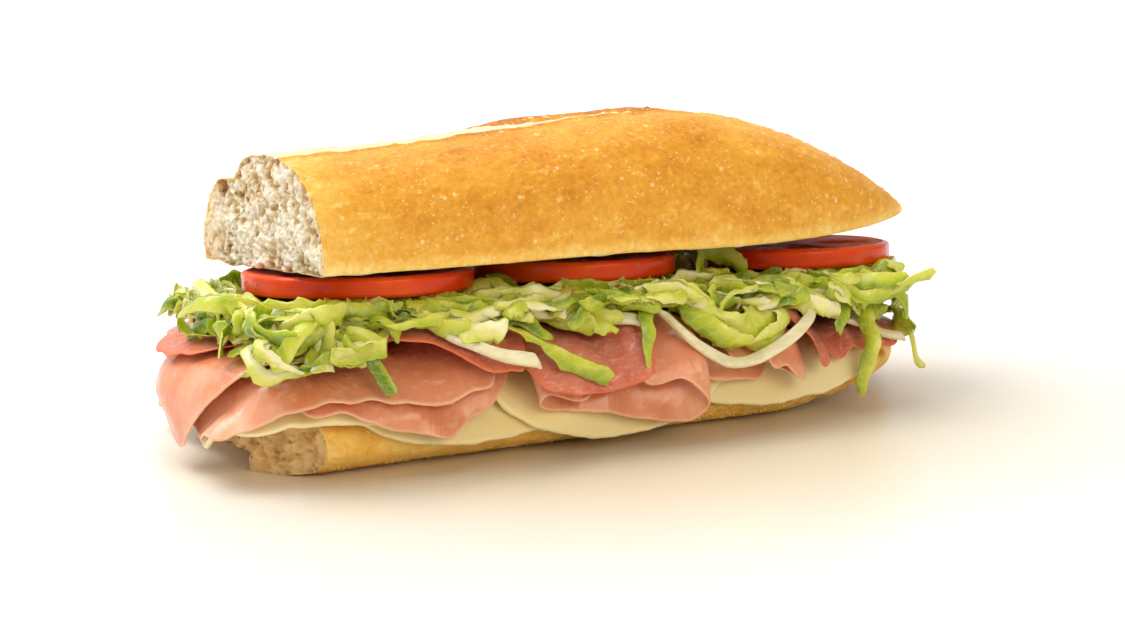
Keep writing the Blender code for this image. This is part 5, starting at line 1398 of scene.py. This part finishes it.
def draw_ribbons(seed, count, side, depth, size):
    """count ribbons round the front (side -1) or back (side 1): paths in metres and widths in mm."""
    draw = np.random.default_rng(seed)
    made = []
    left_end = CORE_START - 0.007 if side < 0 else CORE_START + 0.005
    for _ in range(count):
        x = draw.uniform(left_end + 0.008, CORE_END)
        floor_z = float(drape(x, side * 0.029, pile.under(x, side * 0.029) + 0.001)[2])
        roof_z = float(tomato_underside(x, side * 0.026)) - 0.0018
        z = draw.uniform(floor_z + 0.001, max(floor_z + 0.003, roof_z))
        share = np.clip((z - floor_z + 0.003) / max(roof_z - floor_z + 0.006, 0.004), 0.0, 1.0)
        # In front, over the lifted slice at the left, the heap doesn't hang out as far.
        held_back = 0.6 * float(ramp(x, -0.092, -0.082) * ramp(-x, 0.040, 0.052)) * (side < 0)
        out = depth * (1.0 - held_back)
        y = side * (HEAP_FACE_Y + out * draw.uniform(0.0, 1.0) * math.sin(math.pi * share))
        heading, tilt = draw.uniform(0, 2 * math.pi), draw.normal(0.0, 0.35)
        turning, bending = draw.normal(0.0, 75.0), draw.normal(0.0, 70.0)
        stride = draw.uniform(*RIBBON_LENGTHS) / RIBBON_POINTS
        spot = np.array([x, y, z])
        path = [spot.copy()]
        for _step in range(RIBBON_POINTS - 1):
            direction = np.array([math.cos(heading), side * math.sin(tilt), math.sin(heading) * 0.8])
            spot = spot + stride * direction / np.linalg.norm(direction)
            heading += turning * stride + draw.normal(0.0, 0.10)
            tilt += bending * stride + draw.normal(0.0, 0.06)
            high = float(tomato_underside(spot[0], side * 0.026)) - 0.0012
            low = float(drape(spot[0], side * 0.030, pile.under(spot[0], side * 0.030))[2]) + 0.0022
            spot[2] = high if spot[2] > high else max(spot[2], low)
            widest = 0.0275 + out * 1.15 - 0.012 * ramp(-spot[0], 0.082, 0.108) * (side > 0)
            spot[1] = side * np.clip(side * spot[1], HEAP_INNER_Y, widest)
            if not left_end + 0.001 < spot[0] < CORE_END + 0.008:
                heading += math.pi * 0.15
                spot[0] = np.clip(spot[0], left_end, CORE_END + 0.009)
            path.append(spot.copy())
        made.append((np.array(path), draw.uniform(*size)))
    return made


def end_ribbons(seed, count, end_x, out, low_y, high_y):
    """count ribbons across one end of the heap: a third on its top edge, the rest down its face."""
    draw = np.random.default_rng(seed)
    floor_z = float(drape(end_x, 0.0, pile.under(end_x, 0.0) + 0.0020)[2])
    roof_z = float(tomato_underside(end_x, 0.0)) - 0.0006
    made = []
    for k in range(count):
        top_edge = k % 3 == 0
        across = np.linspace(*np.sort(draw.uniform(low_y, high_y, 2)), END_CORNERS)
        height = roof_z if top_edge else draw.uniform(floor_z, roof_z)
        inset = draw.uniform(0.001, 0.007) if top_edge else 0.0
        bow = draw.uniform(0.001, 0.002) if top_edge else draw.uniform(0.001, 0.007)
        arch = bow * np.sin(np.linspace(0.0, math.pi, END_CORNERS))
        x = end_x - out * inset + out * (0.0008 + arch)
        z = np.clip(height + draw.normal(0.0, 0.0022, END_CORNERS), floor_z, roof_z)
        path = np.stack([x, across + draw.normal(0.0, 0.0015, END_CORNERS), z], 1)
        made.append((rounded(path, RIBBON_POINTS), draw.uniform(*END_WIDTHS)))
    return made


def facing(path, outward):
    """The turn about a line that makes the flat side of its ribbon face outwards halfway along."""
    tangents = np.gradient(path, axis=0)
    tangents /= np.linalg.norm(tangents, axis=1)[:, None]
    tangents = tangents[:len(path) // 2 + 1]
    across = np.array([tangents[0][1], -tangents[0][0], 0.0])
    across /= max(np.linalg.norm(across), 1e-9)
    for b in tangents[1:]:
        across = across - b * (across @ b)
        across /= np.linalg.norm(across)
    wanted = np.cross(tangents[-1], outward)
    return math.atan2(np.cross(across, wanted) @ tangents[-1], across @ wanted)


def ribbon_lines(name, ribbons_of, seed, usual_width=4.8):
    """A curve object with one line per ribbon; its radius is the width, its tilt the twist."""
    draw = np.random.default_rng(seed)
    data = bpy.data.curves.new(name, "CURVE")
    data.dimensions = "3D"
    data.twist_mode = "MINIMUM"
    for path, width in ribbons_of:
        path = keep_clear(path)
        for _ in range(2):
            path[1:-1] = 0.25 * path[:-2] + 0.5 * path[1:-1] + 0.25 * path[2:]
        line = data.splines.new("POLY")
        line.points.add(len(path) - 1)
        line.points.foreach_set("co", np.c_[path, np.ones(len(path))].ravel())
        t = np.linspace(0.0, 1.0, len(path))
        swell = 0.85 + 0.15 * np.sin(math.pi * t) + 0.20 * noise_xy(t * 3.0, width, 1.0, 2, seed)
        swell = swell * np.clip(np.minimum(t, 1 - t) * 20 + 0.60, 0, 1)
        line.points.foreach_set("radius", width / usual_width * swell)
        start, turn = draw.uniform(-0.9, 0.9), draw.normal(0.0, 1.6)
        middle = path.mean(axis=0)
        at_end = middle[0] < CORE_START + 0.006 or middle[0] > CORE_END - 0.003
        outward = np.array([-0.2, math.copysign(1.0, path[-1, 1] + path[0, 1]), 0.35])
        if at_end:
            outward = np.array([math.copysign(1.0, middle[0]), -0.3, 0.45])
        line.points.foreach_set("tilt", facing(path, outward) + start + turn * (t - 0.5))
    return put_in_scene(name, data)


def make_leaves(name, ribbons_of, seed, usual_width=4.8, **sizes):
    """Grows ribbons along their lines and keeps them as one piece."""
    mesh = grow(ribbon_lines(f"{name}_lines", ribbons_of, seed, usual_width), ribbons, seed=seed,
                leaf=leaf, half_width=0.0005 * usual_width, **sizes)
    print(len(ribbons_of), "ribbons")
    return settle(face_out(as_piece(name, mesh, "lettuce")), "lettuce")


def in_metres(table, count=RIBBON_POINTS):
    return [(rounded(np.array(corners) * 0.001, count), width) for corners, width in table]


placed = in_metres(PLACED)
placed_front = [row for row in placed if row[0][-1][1] < 0.010]
placed_rear = [row for row in placed if row[0][-1][1] >= 0.010]
make_leaves("lettuce_front", placed_front + draw_ribbons(41, 215, -1.0, 0.0125, USUAL_WIDTHS), 5)
make_leaves("lettuce_rear", placed_rear + draw_ribbons(42, 160, 1.0, 0.0105, USUAL_WIDTHS), 6)
at_cut = end_ribbons(43, 42, CORE_START + 0.001, -1.0, -0.024, 0.026)
at_heel = end_ribbons(44, 24, CORE_END - 0.001, 1.0, -0.014, 0.018)
make_leaves("lettuce_ends", at_cut + at_heel, 8)

# %% [markdown]
# Some strips were cut wide, from the frilly top of a leaf. The same tree makes them with other
# inputs: a wider, flatter profile with more sides, and taller ruffles.

# %% Wide, frilly pieces of leaf
FRILLY = (
    (((54, -12, 36), (65, -24, 40), (71, -29, 36), (73, -31, 28), (71, -32, 21), (74, -33, 16)), 9.0),
    (((-2, -30, 33), (4, -38, 31), (10, -42, 27), (20, -43, 26), (28, -39, 29)), 10.0),
    (((-102, -28, 35), (-95, -37, 33), (-87, -38, 30)), 6.0),
    (((-70, -24, 37), (-62, -37, 34), (-52, -41, 29)), 7.5),
    (((-104, -10, 38), (-112, -2, 36), (-115, 5, 30)), 5.5),
    (((30, -26, 34), (38, -38, 31), (47, -40, 26)), 7.5),
    (((-30, -26, 35), (-24, -38, 32), (-20, -41, 27)), 7.0),
    (((-72, 24, 36), (-62, 34, 33), (-53, 38, 26)), 9.0),
    (((10, 24, 34), (20, 34, 31), (29, 37, 24)), 9.0),
    (((-24, 24, 35), (-13, 34, 32), (-2, 38, 26)), 8.0),
    (((62, 6, 34), (74, 8, 34), (79, 12, 28), (76, 14, 21)), 9.0),
)
make_leaves("lettuce_frills", in_metres(FRILLY, 46), 7, usual_width=9.0, thickness=0.0007, cupping=0.0012,
            ruffle_height=0.0028, ruffle_length=0.0058, sides=26)

# %% [markdown]
# Under the ribbons lies the rest of the heap, which only shows between them. One lumpy body fills the
# space between the meat and the tomatoes, in the darker green of leaf in shade.

# %% The heap below the ribbons
CORE_FRONT, CORE_BACK, CORE_SLUMP = -0.0285, 0.0275, 0.0050
CORE_POINTS, CORE_RINGS = 260, 26


def core_look():
    look, tree, shader = shader_of("shaded_leaf", colour(150, 160, 60), 0.5, 0.3, (0.7, 1.0, 0.3), 0.002)
    at = place(tree)
    cloud = noise_node(tree, place(tree, (1.0, 1.0, 1.8)), 150.0, 4.0, 0.6, 1.5)
    base = blend_by(tree, cloud, (0.30, colour(96, 92, 28)), (0.5, colour(150, 154, 58)),
                    (0.7, colour(204, 206, 110)))
    finish_look(tree, shader, base, None, ((cloud, 0.002, 0.8), (noise_node(tree, at, 500.0), 0.0004, 0.5)))
    return look


def make_core():
    corners = ((CORE_START, -0.012), (CORE_START + 0.008, CORE_FRONT + 0.002), (-0.060, CORE_FRONT),
               (0.000, CORE_FRONT), (CORE_END - 0.012, CORE_FRONT + 0.003), (CORE_END, -0.010),
               (CORE_END - 0.002, 0.014), (CORE_END - 0.018, CORE_BACK - 0.004), (0.000, CORE_BACK),
               (-0.060, CORE_BACK), (CORE_START + 0.010, CORE_BACK - 0.004), (CORE_START, 0.012))
    rim = rounded(corners, CORE_POINTS, closed=True)
    shares = 1.0 - np.linspace(0.0, 1.0, CORE_RINGS)[:-1] ** 1.2
    centre = np.array([0.5 * (CORE_START + CORE_END), 0.0])
    flat = np.vstack([centre + (rim - centre) * share for share in shares] + [centre[None]])
    x, v = flat.T
    low = drape(x, v, pile.under(x, v) + LAYER_GAP)
    high = low.copy()
    ceiling = tomato_underside(low[:, 0], low[:, 1]) - 0.0008
    shoulder = ramp(np.abs(v), SHOULDER - 0.004, -CORE_FRONT + 0.003)
    lumps = 0.0022 * noise_xy(x, v, 0.006, 2)
    wanted = ceiling - 0.0010 - CORE_SLUMP * shoulder + lumps
    high[:, 2] = np.maximum(np.minimum(wanted, ceiling), low[:, 2] + 0.0010)
    faces = sheet_faces(CORE_RINGS - 1, CORE_POINTS)
    return face_out(make_piece("lettuce_heap", np.vstack([high, low]), faces, (core_look(),), "lettuce"))


settle(make_core(), "lettuce")

# %% [markdown]
# Small things lie on the big ones: coarse meal stuck to the foot of the roll, from the bench it was
# proved on, dried herbs and drops of dressing on the tomatoes. Placing them by hand would be slow and
# look even. This second tree scatters a small body over any surface: points by density, a ball turned
# to the surface at each, stretched at random, and all of it realized as mesh.

# %% A Geometry Nodes tree that scatters small bodies
HALF_TURN = 3.14


def scatter_tree():
    tree, given = start_tree("scattered_bits", "Surface", (
        ("Density", "Float", 10000.0), ("Size", "Float", 0.0005),
        ("Smallest", "Vector", (0.5, 0.5, 0.5)), ("Largest", "Vector", (1.0, 1.0, 1.0)),
        ("Roundness", "Int", 1), ("Seed", "Int", 1)), "Finish", "Bits")
    points = add(tree, "GeometryNodeDistributePointsOnFaces",
                 {"Mesh": given["Surface"], "Density": given["Density"], "Seed": given["Seed"]})
    ball = add(tree, "GeometryNodeMeshIcoSphere",
               {"Radius": given["Size"], "Subdivisions": given["Roundness"]})
    stretch = add(tree, "FunctionNodeRandomValue",
                  {0: given["Smallest"], 1: given["Largest"], "Seed": given["Seed"]},
                  data_type="FLOAT_VECTOR")
    spin = add(tree, "FunctionNodeRandomValue",
               {0: (0.0, 0.0, -HALF_TURN), 1: (0.0, 0.0, HALF_TURN), "Seed": given["Seed"]},
               data_type="FLOAT_VECTOR")
    bits = add(tree, "GeometryNodeInstanceOnPoints",
               {"Points": points.outputs[0], "Instance": ball.outputs[0],
                "Rotation": points.outputs["Rotation"], "Scale": stretch.outputs[0]})
    turned = add(tree, "GeometryNodeRotateInstances",
                 {"Instances": bits.outputs[0], "Rotation": spin.outputs[0]})
    return end_tree(tree, turned.outputs[0], given["Finish"])


bits = scatter_tree()


def patch_of(pieces, keep):
    """The faces of some pieces that pass keep(centres, normals), as an object to scatter on."""
    points, faces, start = [], [], 0
    for piece in pieces:
        mesh = piece.data
        where = np.empty(3 * len(mesh.vertices), np.float32)
        mesh.vertices.foreach_get("co", where)
        centres, normals = (np.empty(3 * len(mesh.polygons), np.float32) for _ in range(2))
        mesh.polygons.foreach_get("center", centres)
        mesh.polygons.foreach_get("normal", normals)
        chosen = keep(centres.reshape(-1, 3), normals.reshape(-1, 3))
        faces += [[start + i for i in mesh.polygons[k].vertices] for k in np.flatnonzero(chosen)]
        points += where.reshape(-1, 3).tolist()
        start += len(mesh.vertices)
    mesh = bpy.data.meshes.new("patch")
    mesh.from_pydata(points, [], faces)
    return put_in_scene("patch", mesh)


def scatter(name, slot, pieces, keep, **sizes):
    """Grows small bodies on the chosen faces of some pieces and keeps them as one piece."""
    return settle(as_piece(name, grow(patch_of(pieces, keep), bits, **sizes), slot))


print("the scattering tree has", len(bits.nodes), "nodes")

# %% Meal on the foot of the roll
def meal_look():
    look, tree, shader = shader_of("coarse_meal", colour(236, 196, 100), 0.6, 0.2, (1.0, 0.7, 0.3), 0.0006)
    grain = noise_node(tree, place(tree), 380.0, 2.0)
    base = blend_by(tree, grain, (0.35, colour(222, 166, 62)), (0.6, colour(252, 222, 130)))
    finish_look(tree, shader, base)
    return look


def foot_of_roll(centres, normals):
    x, y, z = centres.T
    high = 0.0018 + 0.0060 * ramp(x, -0.050, -0.015) * ramp(-x, -0.074, -0.055)
    high = high * (0.6 + 0.9 * ramp(noise_at(centres, 0.012, 2), -0.3, 0.4))
    return (z < high) & (z > 0.0003) & (x > -0.098)


scatter("coarse_meal", "crust", [bottom_half], foot_of_roll, density=1.2e6, size=0.00050,
        smallest=(0.4, 0.4, 0.3), largest=(1.0, 0.9, 0.8), roundness=1, seed=3, finish=meal_look())

# %% Herbs and drops on the tomatoes
def herb_look():
    look, tree, shader = shader_of("dried_herbs", colour(120, 104, 50), 0.7)
    flake = noise_node(tree, place(tree), 500.0, 2.0)
    base = blend_by(tree, flake, (0.35, colour(84, 78, 36)), (0.6, colour(160, 128, 66)))
    finish_look(tree, shader, base, None, ((flake, 0.0002, 0.5),))
    return look


def drop_look():
    look, tree, shader = shader_of("dressing_drops", colour(255, 236, 214), 0.04, ior=1.36)
    shader.inputs["Transmission Weight"].default_value = 0.92
    soft = noise_node(tree, place(tree), 300.0, 2.0)
    finish_look(tree, shader, None, step(tree, soft, 0.0, 1.0, 0.02, 0.06))
    return look


def outer_tops(centres, normals):
    x, y, z = centres.T
    return (normals[:, 2] > 0.5) & (np.abs(y - 0.001) > 0.014)


def outer_rims(centres, normals):
    return (np.abs(normals[:, 2]) < 0.5) & (noise_at(centres, 0.02, 2) > 0.05)


scatter("herb_flecks", "tomato", tomato_slices, outer_tops, density=5.0e4, size=0.00045,
        smallest=(0.5, 0.3, 0.15), largest=(1.3, 0.6, 0.3), roundness=1, seed=8, finish=herb_look())
scatter("drops_on_tops", "tomato", tomato_slices, outer_tops, density=0.8e4, size=0.0009,
        smallest=(0.3, 0.3, 0.2), largest=(1.0, 1.0, 0.5), roundness=3, seed=9, finish=drop_look())
scatter("drops_on_rims", "tomato", tomato_slices, outer_rims, density=1.4e4, size=0.0010,
        smallest=(0.3, 0.3, 0.2), largest=(1.2, 0.9, 0.5), roundness=3, seed=12, finish=drop_look())

# %% [markdown]
# The room. The photo was taken on a white sweep with soft light from above and behind, and a fill
# from the front. A large white floor that curves up far behind gives the same clean ground and lets
# the shadow run out softly towards the camera.

# %% Floor and lights
def make_sweep():
    """A wide white floor that curves up into a wall far behind."""
    bend = np.linspace(0.1, 0.5 * math.pi, 12)
    depth = np.r_[np.linspace(-6.0, 2.0, 30), 2.0 + 1.0 * np.sin(bend), np.full(4, 3.0)]
    rise = np.r_[np.zeros(30), 1.0 - np.cos(bend), np.linspace(1.5, 4.0, 4)]
    width = np.linspace(-6.0, 6.0, 9)
    points = np.array([(w, d, h) for d, h in zip(depth, rise) for w in width])
    mesh = bpy.data.meshes.new("sweep")
    mesh.from_pydata(points.tolist(), [], grid_faces(len(depth), len(width), wrap=False).tolist())
    mesh.shade_smooth()
    made = put_in_scene("sweep", mesh)
    # It is painted warmer and darker where the food stands, as its shadow and warm reflection, and it glows
    # where it is far.
    look, tree, shader = shader_of("white_sweep", (0.93, 0.93, 0.93, 1.0), 0.45)
    away = add(tree, "ShaderNodeVectorMath", {0: place(tree, (0.75, 1.0, 1.0), (0.0, 0.035, 0.0))},
               operation="LENGTH").outputs["Value"]
    base = blend_by(tree, away, (0.05, colour(226, 216, 196)), (0.11, colour(238, 237, 234)),
                    (0.18, colour(246, 248, 255)))
    glow = blend_by(tree, away, (0.13, (0.0, 0.0, 0.0, 1.0)), (0.4, (0.22, 0.235, 0.26, 1.0)))
    shader.inputs["Emission Strength"].default_value = 1.0
    tree.links.new(glow, shader.inputs["Emission Color"])
    finish_look(tree, shader, base, step(tree, noise_node(tree, place(tree), 3.0), 0.0, 1.0, 0.26, 0.34))
    mesh.materials.append(look)
    return made


def aim(made, direction):
    made.rotation_euler = direction.to_track_quat("-Z", "Y").to_euler()


def soft_light(name, place_at, target, size, power, tint=(1.0, 1.0, 1.0)):
    data = bpy.data.lights.new(name, "AREA")
    data.shape = "RECTANGLE"
    data.size, data.size_y = size
    data.energy = power
    data.color = tint
    lamp = put_in_scene(name, data)
    lamp.location = place_at
    aim(lamp, Vector(target) - Vector(place_at))


make_sweep()
CENTRE = (-0.01, 0.0, 0.03)
soft_light("key_above", (-0.30, 0.40, 0.80), CENTRE, (0.6, 0.5), 4.4, (1.0, 0.97, 0.92))
soft_light("front_fill", (0.15, -1.00, 0.50), CENTRE, (0.7, 0.5), 3.6, (1.0, 0.86, 0.62))
soft_light("left_fill", (-0.90, -0.25, 0.35), CENTRE, (0.5, 0.5), 1.0, (1.0, 0.90, 0.72))
sky_data = bpy.data.lights.new("overhead_sky", "SUN")
sky_data.energy = 2.1
sky_data.angle = math.radians(70.0)
aim(put_in_scene("overhead_sky", sky_data), Vector((0.25, -0.35, -1.0)))
world = bpy.data.worlds.new("studio")
world.use_nodes = True
world.node_tree.nodes["Background"].inputs[0].default_value = (1.0, 0.92, 0.78, 1.0)
world.node_tree.nodes["Background"].inputs[1].default_value = 0.40
bpy.context.scene.world = world
bpy.context.scene.view_settings.view_transform = "Standard"

# %% [markdown]
# The camera stands at the photo's viewing angle, nearly a metre away, with a long lens. Its
# direction was worked out from the roll's edges in the photo, which is 1125 pixels wide.

# %% Camera
PHOTO_WIDTH = 1125
FOCAL_PIXELS = 3465.0
AZIMUTH, ELEVATION = math.radians(-29.3), math.radians(11.9)
DISTANCE = 0.900
TARGET = Vector((-0.0115, 0.0, 0.0273))
back = Vector((math.sin(AZIMUTH) * math.cos(ELEVATION), -math.cos(AZIMUTH) * math.cos(ELEVATION),
               math.sin(ELEVATION)))
camera_data = bpy.data.cameras.new("camera")
camera_data.sensor_width = 36.0
camera_data.lens = FOCAL_PIXELS / PHOTO_WIDTH * camera_data.sensor_width
camera = put_in_scene("camera", camera_data)
camera.location = TARGET + back * DISTANCE
aim(camera, -back)
bpy.context.scene.camera = camera
print("lens:", round(camera_data.lens, 1), "mm")
